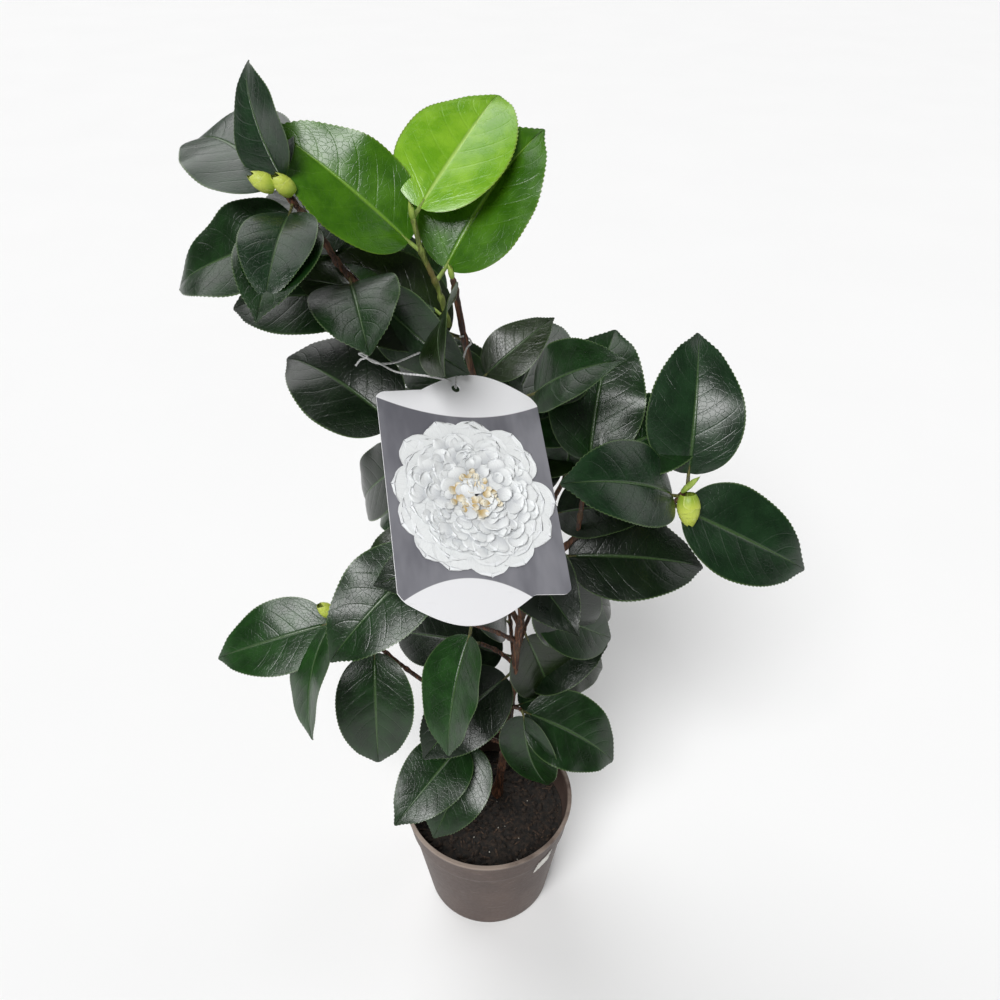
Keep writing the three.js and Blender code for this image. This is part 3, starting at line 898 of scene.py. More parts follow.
SPRAYS: dict[str, Spray] = {
    "top_left_tip": Spray(
        "top_left",
        Tone.COOL,
        0.94,
        1.0,
        (Leaf(-95, 30, 0, 0.7), Leaf(108, 0, -50, 0.75), Leaf(142, -35, 0, 1.05)),
    ),
    "top_left_low": Spray("top_left", Tone.DARK, 0.8, 0.88, (Leaf(-165, -20), Leaf(-100, 35, 0, 0.8))),
    "top_left_inner": Spray(
        "top_left",
        Tone.DARK,
        0.36,
        0.62,
        (Leaf(180, -15), Leaf(-40, 5, 45, 0.8), Leaf(-70, 45, 0, 0.85), Leaf(120, -40)),
    ),
    # The last leaf of this spray keeps young green brightened with painted sky light and painted backlit
    # glow
    "new_shoot": Spray(
        "new_shoot",
        Tone.NEW_GREEN_PAINTED_LIT,
        0.42,
        1.0,
        (Leaf(55, 0, 0, 1.1), Leaf(142, 10, 0, 1.05), Leaf(62, -25, 0, 1.1)),
    ),
    "new_shoot_foot": Spray("new_shoot", Tone.LUSH, 0.07, 0.07, (Leaf(140, -5, 20, 0.9),)),
    "leader": Spray(
        "leader",
        Tone.OLIVE,
        0.74,
        0.97,
        (Leaf(40, 0, 0, 0.6), Leaf(162, 8, 0, 1.05), Leaf(-92, 45, 65, 0.8)),
    ),
    "mid_left_low": Spray("mid_left", Tone.DARK, 0.38, 0.38, (Leaf(-133, 5, 0, 1.08),)),
    "mid_left_high": Spray(
        "mid_left", Tone.BLACK, 0.86, 1.0, (Leaf(-145, -55, 0, 0.9), Leaf(148, -20, 0, 1.05))
    ),
    "right_upper": Spray(
        "right_upper", Tone.DARK, 0.62, 1.0, (Leaf(70, -40, 0, 0.95), Leaf(40, -60), Leaf(15, 45, 0, 0.8))
    ),
    "right_mid": Spray("right_mid", Tone.DARK, 0.8, 1.0, (Leaf(78, -10, 0, 1.1), Leaf(20, -20))),
    "right_inner": Spray("right", Tone.BLACK, 0.28, 0.36, (Leaf(-70, -45), Leaf(-5, -10, 0, 1.15))),
    "right_tip": Spray(
        "right", Tone.COOL, 0.9, 1.0, (Leaf(-25, -15, 0, 1.15), Leaf(175, 35, 0, 1.05), Leaf(85, -5, 0, 1.1))
    ),
    "right_fork": Spray("right", Tone.DARK, 0.05, 0.05, (Leaf(-25, -35, 0, 0.9),)),
    "right_low": Spray("right_low", Tone.OLIVE, 0.36, 1.0, (Leaf(-70, -45), Leaf(-10, -40, 0, 0.85))),
    "right_base": Spray("right_base", Tone.OLIVE, 1.0, 1.0, (Leaf(-15, -40, 0, 0.9),)),
    "pot_right": Spray(
        "pot_right",
        Tone.DARK,
        0.1,
        1.0,
        (Leaf(10, -45, 0, 0.85), Leaf(-32, -15, 0, 1.05), Leaf(-72, -30, 40, 0.9)),
    ),
    "pot_left": Spray("pot_left", Tone.DARK, 0.85, 1.0, (Leaf(-112, 0, 0, 0.95), Leaf(-132, 20, 0, 0.9))),
    "left_inner": Spray("left", Tone.DARK, 0.8, 0.8, (Leaf(-90, -15, 0, 1.05),)),
    "left_tip": Spray("left", Tone.LUSH, 0.97, 1.0, (Leaf(-162, -10, 0, 1.05), Leaf(-95, 20, 50, 0.9))),
    "centre_front": Spray("centre_front", Tone.LUSH, 1.0, 1.0, (Leaf(-100, 0, 40, 0.95),)),
    "centre_back": Spray("centre_back", Tone.BLACK, 1.0, 1.0, (Leaf(180, -40, 0, 0.95),)),
    "centre": Spray("trunk", Tone.BLACK, 0.73, 0.73, (Leaf(-135, 0),)),
    "behind_tag": Spray("behind_tag", Tone.BLACK, 0.5, 1.0, spiral=2, start=200),
    "back_upper": Spray("back_upper", Tone.DARK, 0.5, 1.0, spiral=2),
    "back_left_inner": Spray("back_left", Tone.OLIVE, 0.35, 0.65, spiral=2, start=60),
    "back_left_tip": Spray("back_left", Tone.DARK, 0.8, 1.0, spiral=3, start=110),
    "back_right_inner": Spray("back_right", Tone.BLACK, 0.4, 0.55, spiral=2, start=20),
    "back_right_tip": Spray("back_right", Tone.DARK, 0.75, 1.0, spiral=3, start=90),
    "back_middle_inner": Spray("back_mid", Tone.OLIVE, 0.45, 0.6, spiral=2),
    "back_middle_tip": Spray("back_mid", Tone.DARK, 0.8, 1.0, spiral=2, start=100),
    "back_low_inner": Spray("back_low", Tone.BLACK, 0.4, 0.55, spiral=2, start=30),
    "back_low_tip": Spray("back_low", Tone.DARK, 0.85, 1.0, spiral=2, start=120),
}
HABIT = Habit()
BLADES: dict[str, list[Blade]] = {name: HABIT.grow(name, spray) for name, spray in SPRAYS.items()}


# ------------------------------------------------------------------ wood


@dataclass
class Wood:
    """Trunk, leader, boughs and twigs: bark with relief, swollen where leaves stand or stood."""

    sides: int = 18
    pitch: float = 1.6
    ripple: float = 0.16
    flare: float = 2.3
    flare_height: float = 13.0
    lobes: int = 3
    joint_swell: float = 0.55
    scar_every: float = 24.0
    old: Finish = WoodFinish("red_brown_bark")
    young: Finish = WoodFinish(
        "green_bark",
        deep=(0.09, 0.12, 0.02),
        raised=(0.2, 0.26, 0.05),
        patch=(0.2, 0.16, 0.05),
        relief=0.0002,
    )
    young_names: tuple[str, ...] = ("new_shoot",)

    def joints(self, name: str) -> list[float]:
        """Where leaves stand or once stood on a course.

        Args:
            name: The course.

        Returns:
            Distances along it.
        """
        line = LINES[name]
        held = []
        for spray in (one for one in SPRAYS.values() if one.course == name):
            count = spray.spiral or len(spray.leaves)
            for k in range(count):
                place = spray.first + (spray.last - spray.first) * k / max(1, count - 1)
                held.append(place * line.length)
        dealt = random.Random(name)
        place = dealt.uniform(0.5, 1) * self.scar_every
        while place < line.length - 8:
            if all(abs(place - other) > 10 for other in held):
                held.append(place)
            place += dealt.uniform(0.75, 1.3) * self.scar_every
        return held

    def limb(self, pile: Pile, name: str) -> None:
        """Adds one limb.

        Args:
            pile: The piece it joins.
            name: The course.
        """
        course, line = COURSES[name], LINES[name]
        count = max(6, round(line.length / self.pitch))
        share = np.linspace(0, 1, count + 1)
        points = line.at(share)
        reach = share * line.length
        radii = course.root + (course.end - course.root) * share
        for joint in self.joints(name):
            radii = radii + self.joint_swell * np.exp(-(((reach - joint) / 2.4) ** 2))
            radii = radii - 0.35 * np.exp(-(((reach - joint - 3.4) / 1.0) ** 2))
        radii[-1] *= 0.6
        turn = TURN * np.arange(self.sides) / self.sides
        ring = np.stack([np.cos(turn) * 1.4, np.sin(turn) * 1.4, 0 * turn], -1)
        sample = ring[None] + np.stack([0 * reach, 0 * reach, reach * 0.11], -1)[:, None]
        relief = self.ripple * 2 * wave3(sample, 1.9, sum(map(ord, name)))
        if name == "trunk":
            swell = np.exp(-((reach / self.flare_height) ** 2))[:, None]
            relief = relief + self.flare * swell * (0.75 + 0.35 * np.cos(self.lobes * turn + 0.6))[None]
        vertices, faces, _ = tube(points, radii, self.sides, relief)
        pile.add(vertices, faces)

    def build(self) -> None:
        """Makes the old wood and the young."""
        old, young = Pile(), Pile()
        for name in COURSES:
            self.limb(young if name in self.young_names else old, name)
        nodes = [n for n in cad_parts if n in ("trunk", "leader") or n.startswith("bough_")]
        green = tuple(n for n in nodes if n.removeprefix("bough_") in self.young_names)
        brown = tuple(n for n in nodes if n not in green)
        old.piece("wood", self.old.material(), Slot.BARK, brown, crease=80)
        young.piece("young_wood", self.young.material(), Slot.YOUNG, green, crease=80)


# ------------------------------------------------------------------ leaves

TONES: dict[Tone, LeafFinish] = {
    # Young-leaf green brightened with painted sky light and painted backlit glow
    Tone.NEW_GREEN_PAINTED_LIT: LeafFinish(
        "leaf_new_green_painted_lit",
        face=(0.23, 0.46, 0.02),
        deep=(0.13, 0.33, 0.006),
        rib=(0.42, 0.62, 0.14),
        edge=(0.16, 0.26, 0.02),
        back=(0.2, 0.34, 0.04),
        roughness=0.28,
        coat=0.2,
        vein_share=0.06,
    ),
    # Real young-leaf green, lightened in part with painted backlit glow
    Tone.FRESH_PAINTED_BACKLIT: LeafFinish(
        "leaf_fresh_painted_backlit",
        face=(0.055, 0.17, 0.002),
        deep=(0.028, 0.105, 0.001),
        rib=(0.17, 0.34, 0.03),
        edge=(0.1, 0.2, 0.01),
        back=(0.12, 0.22, 0.02),
        roughness=0.3,
        coat=0.15,
        vein_share=0.05,
    ),
    Tone.LUSH: LeafFinish("leaf_lush", face=(0.010, 0.052, 0.005), deep=(0.005, 0.027, 0.003)),
    Tone.DARK: LeafFinish("leaf_dark", face=(0.006, 0.032, 0.004), deep=(0.003, 0.016, 0.002)),
    Tone.COOL: LeafFinish("leaf_cool", face=(0.008, 0.033, 0.009), deep=(0.004, 0.018, 0.005)),
    Tone.OLIVE: LeafFinish("leaf_olive", face=(0.011, 0.025, 0.004), deep=(0.006, 0.014, 0.002)),
    Tone.BLACK: LeafFinish("leaf_black", face=(0.004, 0.014, 0.003), deep=(0.002, 0.008, 0.002)),
}


@dataclass
class Foliage:
    """Every leaf, as a serrated blade with ribs and thickness on its own stalk."""

    rows: int = 72
    base_form: float = 0.55
    tooth: float = 0.42
    thickness: float = 0.5
    puff: float = 0.35
    pairs: float = 8.0
    stalk_radius: float = 1.15
    columns: tuple[float, ...] = (0, 0.035, 0.1, 0.22, 0.38, 0.56, 0.74, 0.9, 1.0)
    stalk_finish: Finish = WoodFinish(
        "stalk_skin",
        deep=(0.05, 0.05, 0.012),
        raised=(0.12, 0.12, 0.03),
        patch=(0.12, 0.06, 0.025),
        relief=0.0001,
    )
    fresh_stalk: Finish = WoodFinish(
        "fresh_stalk_skin",
        deep=(0.16, 0.24, 0.04),
        raised=(0.28, 0.38, 0.08),
        patch=(0.2, 0.3, 0.05),
        relief=0.0001,
    )

    def spine(self, leaf: Blade, u: np.ndarray) -> tuple[np.ndarray, np.ndarray, np.ndarray]:
        """The blade's middle line.

        Args:
            leaf: The leaf.
            u: Shares of the blade's length.

        Returns:
            The points, and the ways across and up at each.
        """
        arch, bend, twist, droop = (math.radians(a) for a in (leaf.arch, leaf.bend, leaf.twist, leaf.droop))
        along, side = leaf.along, leaf.side
        face = np.cross(side, along)
        w = np.linspace(0, 1, 145)
        late = np.clip((w - 0.55) / 0.45, 0, 1)
        pitch = (arch * (0.5 - w) - droop * late**2 * (3 - 2 * late))[:, None]
        yaw = (bend * (w - 0.5))[:, None]
        way = np.cos(pitch) * (np.cos(yaw) * along + np.sin(yaw) * side) + np.sin(pitch) * face
        path = np.vstack([np.zeros(3), np.cumsum((way[1:] + way[:-1]) / 2, 0)]) * leaf.length / (len(w) - 1)
        path = path + leaf.root + along * leaf.stalk
        across = np.cos(yaw) * side - np.sin(yaw) * along
        up = unit(np.cross(across, way))
        turn = (twist * (w - 0.3))[:, None]
        across = across * np.cos(turn) + up * np.sin(turn)
        up = np.cross(across, way)
        return tuple(np.stack([np.interp(u, w, a[:, k]) for k in range(3)], -1) for a in (path, across, up))

    def blade(self, pile: Pile, leaf: Blade, dealt: random.Random) -> None:
        """Adds a blade.

        Args:
            pile: The piece it joins.
            leaf: The leaf.
            dealt: The seeded source of its small differences.
        """
        size = leaf.length / 90
        u = np.linspace(0.006, 0.997, self.rows + 1)
        v = np.array([-c for c in self.columns[:0:-1]] + list(self.columns))
        shape = u**self.base_form * (1 - u) ** leaf.point
        half = leaf.length * leaf.width / 2 * shape / shape.max()
        half = half * (1 - 0.22 * np.clip((u - 0.84) / 0.1, 0, 1) * np.clip((1 - u) / 0.04, 0, 1))
        toothed = np.clip((u - 0.1) / 0.1, 0, 1) * np.clip((1 - u) / 0.05, 0, 1)
        notch = (np.arange(len(u)) % 2 == 0) * self.tooth * size * toothed
        along_u = np.repeat(u[:, None], len(v), 1)
        lean = 0.45 / self.rows * (np.arange(len(u)) % 2) * toothed
        along_u[:, 0] += lean
        along_u[:, -1] += lean
        across = half[:, None] * v[None]
        across[:, 0] += notch
        across[:, -1] -= notch
        bow = dealt.uniform(-1.4, 1.4) * size * np.sin(math.pi * u)
        fold = math.sin(math.radians(leaf.fold))
        crown = dealt.uniform(0.05, 0.14)
        mid = np.abs(v)[None]
        height = half[:, None] * (fold * (np.sqrt(mid**2 + 0.012) - 0.11) + crown * (mid - mid**2))
        for sign in (-1, 1):
            beats, phase = dealt.uniform(1.4, 3.0), dealt.uniform(0, TURN)
            ripple = dealt.uniform(0.5, 1.5) * size * np.sin(TURN * beats * u + phase) * np.sin(math.pi * u)
            height = height + ripple[:, None] * np.where(np.sign(v) == sign, np.abs(v) ** 1.7, 0)[None]
        sweep = np.abs(v) * (0.15 + 0.1 * np.abs(v))
        phase = (u[:, None] - sweep[None]) * self.pairs + 0.42 * (v > 0)[None]
        quilt = self.puff * size * (0.5 - 0.5 * np.cos(TURN * (phase - 0.5)))
        quilt = quilt * (mid * (1 - mid) * 3.2) * np.sin(math.pi * u)[:, None] ** 0.5
        height = height + quilt
        height[:, len(v) // 2] -= 0.35 * size * (1 - 0.6 * u)
        tip = np.clip((u - 0.8) / 0.2, 0, 1) ** 2 * dealt.uniform(0.2, 2.4) * size
        height = height - tip[:, None]
        size3 = (*along_u.shape, 3)
        spine, side, up = (a.reshape(size3) for a in self.spine(leaf, along_u.ravel()))
        upper = spine + side * (across + bow[:, None])[..., None] + up * height[..., None]
        thick = self.thickness * (1 - 0.5 * mid**2) * np.ones_like(height)
        rib = 0.9 * size * (1 - 0.75 * u)
        thick[:, len(v) // 2] += rib
        thick[:, len(v) // 2 - 1] += 0.35 * rib
        thick[:, len(v) // 2 + 1] += 0.35 * rib
        lower = upper - up * thick[..., None]
        n, m = along_u.shape
        low, high = np.repeat(u[:, None], m, 1) * 0.98 + 0.01, (v + 1) / 2
        places = np.stack([0.01 + 0.48 * high[None] * np.ones_like(low), low], -1)
        pile.add(upper, grid(n, m), places)
        pile.add(lower, grid(n, m, flip=True), places + np.array([0.5, 0.0]))
        around = [(i, 0) for i in range(n)] + [(n - 1, j) for j in range(1, m)]
        around += [(i, m - 1) for i in range(n - 2, -1, -1)] + [(0, j) for j in range(m - 2, 0, -1)]
        rows, cols = np.array(around).T
        rim = np.stack([lower[rows, cols], upper[rows, cols]])
        sides = [np.stack([np.full(len(rows), x), low[rows, cols]], -1) for x in (0.4975, 0.4925)]
        rim_place = np.stack(sides)
        pile.add(rim, grid(2, len(rows), around=True, flip=True), rim_place)

    def stalk(self, pile: Pile, leaf: Blade) -> None:
        """Adds a leaf's stalk, running on under the blade's base.

        Args:
            pile: The piece it joins.
            leaf: The leaf.
        """
        root = leaf.root
        base, _, up = self.spine(leaf, np.array([0.006, 0.06]))
        base = base - up * 0.5
        t = np.linspace(0, 1, 13)[:, None]
        away = unit(base[1] - base[0])
        bend = 0.45 * root + 0.55 * base[0] - away * leaf.stalk * 0.2
        points = (1 - t) ** 2 * root + 2 * t * (1 - t) * bend + t**2 * base[0]
        points = np.vstack([points, base[1]])
        radii = self.stalk_radius * np.r_[1.25 - 0.35 * np.linspace(0, 1, 13) ** 0.5, 0.45]
        vertices, faces, _ = tube(points, radii * leaf.length / 90, 10)
        pile.add(vertices, faces)

    def build(self) -> None:
        """Makes the leaves, a piece for each tone, and the stalks."""
        piles: dict[Tone, Pile] = {}
        nodes: dict[Tone, list[str]] = {}
        stalks, fresh = Pile(), Pile()
        for name, spray in SPRAYS.items():
            dealt = random.Random(name)
            nodes.setdefault(spray.tone, []).append("foliage_" + name)
            for number, leaf in enumerate(BLADES[name]):
                # The new shoot's last leaf keeps the painted-lit tone; the first two take the fresh tone,
                # partly painted backlit glow
                tone = Tone.FRESH_PAINTED_BACKLIT if spray.tone is Tone.NEW_GREEN_PAINTED_LIT and number < 2 else spray.tone
                self.blade(piles.setdefault(tone, Pile()), leaf, dealt)
                self.stalk(fresh if spray.course == "new_shoot" else stalks, leaf)
        for tone, pile in piles.items():
            slot = Slot.NEW_LEAF if tone in (Tone.NEW_GREEN_PAINTED_LIT, Tone.FRESH_PAINTED_BACKLIT) else Slot.OLD_LEAF
            stood_for = tuple(nodes.get(tone, ()))
            pile.piece("leaves_" + tone.value, TONES[tone].material(), slot, stood_for, crease=70)
        stalks.piece("stalks", self.stalk_finish.material(), Slot.BARK)
        fresh.piece("stalks_fresh", self.fresh_stalk.material(), Slot.YOUNG)


# ------------------------------------------------------------------ buds


@dataclass(frozen=True)
class Bud:
    """A bud: its root, the way it points, its length, its radius and how many scales wrap it."""

    root: tuple[float, float, float]
    way: tuple[float, float, float]
    length: float
    radius: float
    scales: int


@dataclass
class Buds:
    """Plump flower buds and slender leaf buds, wrapped in overlapping scales."""

    flower: tuple[Bud, ...] = (
        Bud((-110, -10, 661), (-0.86, -0.1, 0.5), 16, 5.2, 9),
        Bud((-101, -10, 658), (-0.62, -0.15, 0.75), 15, 5.0, 9),
        Bud((138, -4, 454), (0.1, -0.3, -0.92), 25, 8.0, 10),
        Bud((-115, -6, 345), (-0.6, -0.1, 0.75), 15, 5.4, 9),
    )
    slender: tuple[Bud, ...] = (
        Bud((134, -3, 455), (0.55, -0.1, 0.8), 18, 2.1, 5),
        Bud((-38, -1, 641), (-0.1, -0.1, 0.9), 11, 1.7, 4),
        Bud((-17, 1, 605), (-0.2, 0.1, 0.9), 10, 1.7, 4),
    )
    flower_finish: Finish = MappedFinish(
        "bud_scale", roughness=0.4, root=(0.26, 0.38, 0.03), tip=(0.5, 0.58, 0.08), edge=(0.62, 0.66, 0.24)
    )
    slender_finish: Finish = MappedFinish(
        "leaf_bud_scale",
        roughness=0.4,
        root=(0.2, 0.32, 0.04),
        tip=(0.34, 0.46, 0.08),
        edge=(0.3, 0.24, 0.08),
    )

    def wrap(self, pile: Pile, bud: Bud, seed: int) -> None:
        """Adds one bud.

        Args:
            pile: The piece it joins.
            bud: The bud.
            seed: What its scales' differences are dealt from.
        """
        dealt = random.Random(seed)
        way = unit(np.array(bud.way, float))
        first = unit(np.cross(way, (0.2, 0.9, 0.4)))
        second = np.cross(way, first)
        steps = 13
        for number in range(bud.scales):
            share = number / (bud.scales - 1)
            outer = 1 - share
            top = 0.4 + 0.6 * share**0.7
            middle = number * 2.4 + dealt.uniform(-0.15, 0.15)
            s = np.linspace(0, 1, steps)[:, None]
            v = np.linspace(-1, 1, steps)[None]
            width = 1.75 * np.sqrt(np.clip(1 - np.clip((s - 0.45) / 0.55, 0, 1) ** 2.4, 0.0004, 1))
            z = s * top * (1 - 0.03 * v**2)
            body = np.sin(math.pi * np.clip(0.1 + 0.9 * z, 0, 1) ** 0.8) ** 0.62
            radius = bud.radius * (body + 0.035 * outer + 0.05 * s**5 * outer) + 0.09
            angle = middle + v * width
            z = z * np.ones_like(angle)
            radius = radius * np.ones_like(angle)
            out = np.cos(angle)[..., None] * first + np.sin(angle)[..., None] * second
            core = np.array(bud.root) + way * (z * bud.length)[..., None]
            points = core + out * (radius * 0.95)[..., None]
            pile.add(points, grid(steps, steps), blade_map(s, v))

    def build(self) -> None:
        """Makes both kinds of bud."""
        for name, buds, finish in (
            ("flower_buds", self.flower, self.flower_finish),
            ("leaf_buds", self.slender, self.slender_finish),
        ):
            pile = Pile()
            for number, bud in enumerate(buds):
                self.wrap(pile, bud, number)
            pile.piece(name, finish.material(), Slot.NEW_LEAF, crease=80)


# ------------------------------------------------------------------ pot and compost


@dataclass
class NurseryPot:
    """A round moulded pot with a rim band, a flat lip, and a torn scrap of blank label."""

    base_radius: float = 56.0
    wall: float = 2.0
    lip: float = 3.5
    band: float = 26.0
    step: float = 1.5
    segments: int = 144
    scrap_turn: float = -48.0
    scrap_height: float = 96.0
    scrap_size: tuple[float, float] = (17.0, 13.0)
    finish: Finish = MouldedFinish("moulded_plastic")
    paper: Finish = CrumbFinish(
        "scrap_paper",
        dark=(0.62, 0.6, 0.56),
        light=(0.85, 0.84, 0.8),
        scale=60.0,
        roughness=0.8,
        relief=0.0001,
    )

    def __post_init__(self) -> None:
        """Takes the rim and height from the frame."""
        low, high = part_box("pot")
        self.rim = high.x / MM
        self.height = high.z / MM

    def outside(self, z: float) -> float:
        """The wall's outer radius at a height, under the band."""
        return self.base_radius + (self.rim - self.step - self.base_radius) * z / self.height

    def profile(self) -> np.ndarray:
        """The pot's section, from the middle of its underside round to the middle of its floor."""
        top, foot = self.height, self.height - self.band
        wall = self.outside
        outer = [(0.4, 1.2), (20, 1.2), (self.base_radius - 12, 1.0), (self.base_radius - 9, 0.1)]
        outer += [(self.base_radius - 3, 0.0), (self.base_radius - 0.8, 0.5), (wall(2.4), 2.4)]
        outer += [(wall(z), z) for z in np.linspace(6, foot - 1.2, 22)]
        outer += [(wall(foot) + 0.1, foot - 0.4), (wall(foot) + self.step - 0.3, foot + 0.1)]
        outer += [(wall(foot) + self.step, foot + 0.9)]
        band_foot = wall(foot) + self.step
        for z in np.linspace(foot + 2, top - 3.4, 8):
            outer.append((band_foot + (self.rim - 0.9 - band_foot) * (z - foot) / (top - 3 - foot), z))
        outer += [(self.rim - 0.25, top - 2.9), (self.rim, top - 2.2), (self.rim, top - 0.9)]
        outer += [(self.rim - 0.4, top - 0.2), (self.rim - 1.2, top)]
        outer += [(self.rim - self.lip + 0.5, top), (self.rim - self.lip, top - 0.6)]
        inner = [(wall(z) - self.wall, z) for z in np.linspace(top - 6, 5, 12)]
        inner += [(self.base_radius - self.wall - 2, 2.8), (20, 2.5), (0.4, 2.5)]
        return np.array(outer + inner)

    def build(self) -> None:
        """Makes the pot and its scrap of label."""
        section = self.profile()
        turn = TURN * np.arange(self.segments) / self.segments
        wobble = 0.18 * np.sin(3 * turn + 0.7)[None] * (section[:, 1] / self.height)[:, None]
        radius = section[:, 0][:, None] + np.where(section[:, 0] > 40, 1, 0)[:, None] * wobble
        height = section[:, 1][:, None] + 0 * radius
        points = np.stack([radius * np.cos(turn), radius * np.sin(turn), height], -1)
        pot = Pile()
        pot.add(points, grid(len(section), self.segments, around=True))
        pot.piece("nursery_pot", self.finish.material(), Slot.POT, ("pot",), crease=40)
        self.scrap()

    def scrap(self) -> None:
        """Makes the torn scrap of label on the band."""
        rows, columns = 15, 21
        wide, tall = self.scrap_size
        a, b = np.meshgrid(np.linspace(-0.5, 0.5, rows), np.linspace(-0.5, 0.5, columns), indexing="ij")
        ragged = np.stack([a * 9, b * 11, 0 * a], -1)
        edge = np.maximum(np.abs(a), np.abs(b)) * 2
        x = b * wide * (1 + 0.22 * wave3(ragged, 0.9, 3) * edge) + 4 * a
        z = a * tall * (1 + 0.34 * wave3(ragged, 1.1, 9) * edge) + 5.5 * b
        lift = 0.25 + 0.5 * np.clip(edge - 0.8, 0, 1) * (1 + wave3(ragged, 1.4, 5))
        height = self.scrap_height + z
        foot, top = self.height - self.band, self.height - 3
        reach = self.outside(foot) + self.step
        reach = reach + (self.rim - 0.9 - reach) * (height - foot) / (top - foot) + lift
        turn = math.radians(self.scrap_turn) + x / self.rim
        points = np.stack([reach * np.cos(turn), reach * np.sin(turn), height], -1)
        under = points - np.stack([np.cos(turn), np.sin(turn), 0 * turn], -1) * 0.2
        pile = Pile()
        pile.add(points, grid(rows, columns))
        pile.add(under, grid(rows, columns, flip=True))
        pile.piece("label_scrap", self.paper.material(), Slot.CARD)


@dataclass
class Compost:
    """Peaty compost: an uneven bed, crumbs and bark shreds, and a few pale grains."""

    rings: int = 90
    segments: int = 160
    crumbs: int = 520
    shreds: int = 120
    grains: int = 26
    inset: float = 5.0
    bed_finish: Finish = CrumbFinish("peat")
    crumb_finish: Finish = CrumbFinish("peat_crumbs", light=(0.045, 0.026, 0.015))
    shred_finish: Finish = CrumbFinish(
        "bark_shreds", dark=(0.02, 0.011, 0.007), light=(0.1, 0.06, 0.035), scale=400.0
    )
    grain_finish: Finish = CrumbFinish(
        "pale_grains", dark=(0.3, 0.28, 0.24), light=(0.6, 0.58, 0.52), scale=300.0
    )

    def __post_init__(self) -> None:
        """Takes the bed's size from the frame."""
        low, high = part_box("compost")
        self.radius = high.x / MM + 1.2
        self.level = high.z / MM

    def surface(self, x: np.ndarray, y: np.ndarray) -> np.ndarray:
        """The bed's height at each place."""
        place = np.stack([x, y, 0 * x], -1)
        reach = np.hypot(x, y) / self.radius
        rough = 1.9 * wave3(place, 0.07, 4) + 1.2 * wave3(place, 0.19, 7) + 0.7 * wave3(place, 0.5, 2)
        rough = rough + 0.35 * wave3(place, 1.1, 8)
        return self.level - 1.6 - 1.5 * reach**2 + rough * 0.9

    def lump(self, centre: np.ndarray, size: tuple[float, float, float], dealt: random.Random) -> tuple:
        """A small uneven lump.

        Args:
            centre: Its middle.
            size: Its three half sizes.
            dealt: The seeded source of its shape.

        Returns:
            Its vertices and faces.
        """
        rows, columns = 6, 8
        s = np.linspace(0.04, math.pi - 0.04, rows)[:, None]
        t = TURN * np.arange(columns)[None] / columns
        shape = np.stack([np.sin(s) * np.cos(t), np.sin(s) * np.sin(t), np.cos(s) + 0 * t], -1)
        shape = shape * (1 + 0.35 * wave3(shape, 1.3, dealt.uniform(0, 90)))[..., None] * np.array(size)
        roll = dealt.uniform(0, TURN) if size[0] < 2 else dealt.uniform(-0.3, 0.3)
        pitch = dealt.uniform(-0.35, 0.35)
        spin = Euler([roll, pitch, dealt.uniform(0, TURN)]).to_matrix()
        return shape @ np.array(spin).T + centre, grid(rows, columns, around=True, flip=True)

    def scatter(self, count: int, low: float, high: float, long: float, seed: int) -> Pile:
        """Lumps strewn over the bed.

        Args:
            count: How many.
            low: The smallest half size.
            high: The largest half size.
            long: How much longer than wide they are.
            seed: What they are dealt from.

        Returns:
            The lumps.
        """
        dealt = random.Random(seed)
        pile = Pile()
        for _ in range(count):
            reach = (self.radius - self.inset) * math.sqrt(dealt.random())
            turn = dealt.uniform(0, TURN)
            x, y = np.array([reach * math.cos(turn)]), np.array([reach * math.sin(turn)])
            size = dealt.uniform(low, high)
            centre = np.array([x[0], y[0], self.surface(x, y)[0] + 0.3 * size])
            pile.add(*self.lump(centre, (size * long, size, size * 0.7), dealt))
        return pile

    def build(self) -> None:
        """Makes the bed and what lies on it."""
        reach = np.linspace(0.3, self.radius, self.rings)[:, None]
        turn = TURN * np.arange(self.segments)[None] / self.segments
        x, y = reach * np.cos(turn), reach * np.sin(turn)
        bed = Pile()
        bed.add(np.stack([x, y, self.surface(x, y)], -1), grid(self.rings, self.segments, around=True))
        bed.piece("compost_bed", self.bed_finish.material(), Slot.COMPOST, ("compost",), crease=180)
        for name, finish, *dealing in (
            ("compost_crumbs", self.crumb_finish, self.crumbs, 0.6, 2.4, 1.2, 11),
            ("compost_shreds", self.shred_finish, self.shreds, 0.5, 1.1, 4.5, 12),
            ("compost_grains", self.grain_finish, self.grains, 0.4, 0.8, 1.1, 13),
        ):
            self.scatter(*dealing).piece(name, finish.material(), Slot.COMPOST)


# ------------------------------------------------------------------ tag


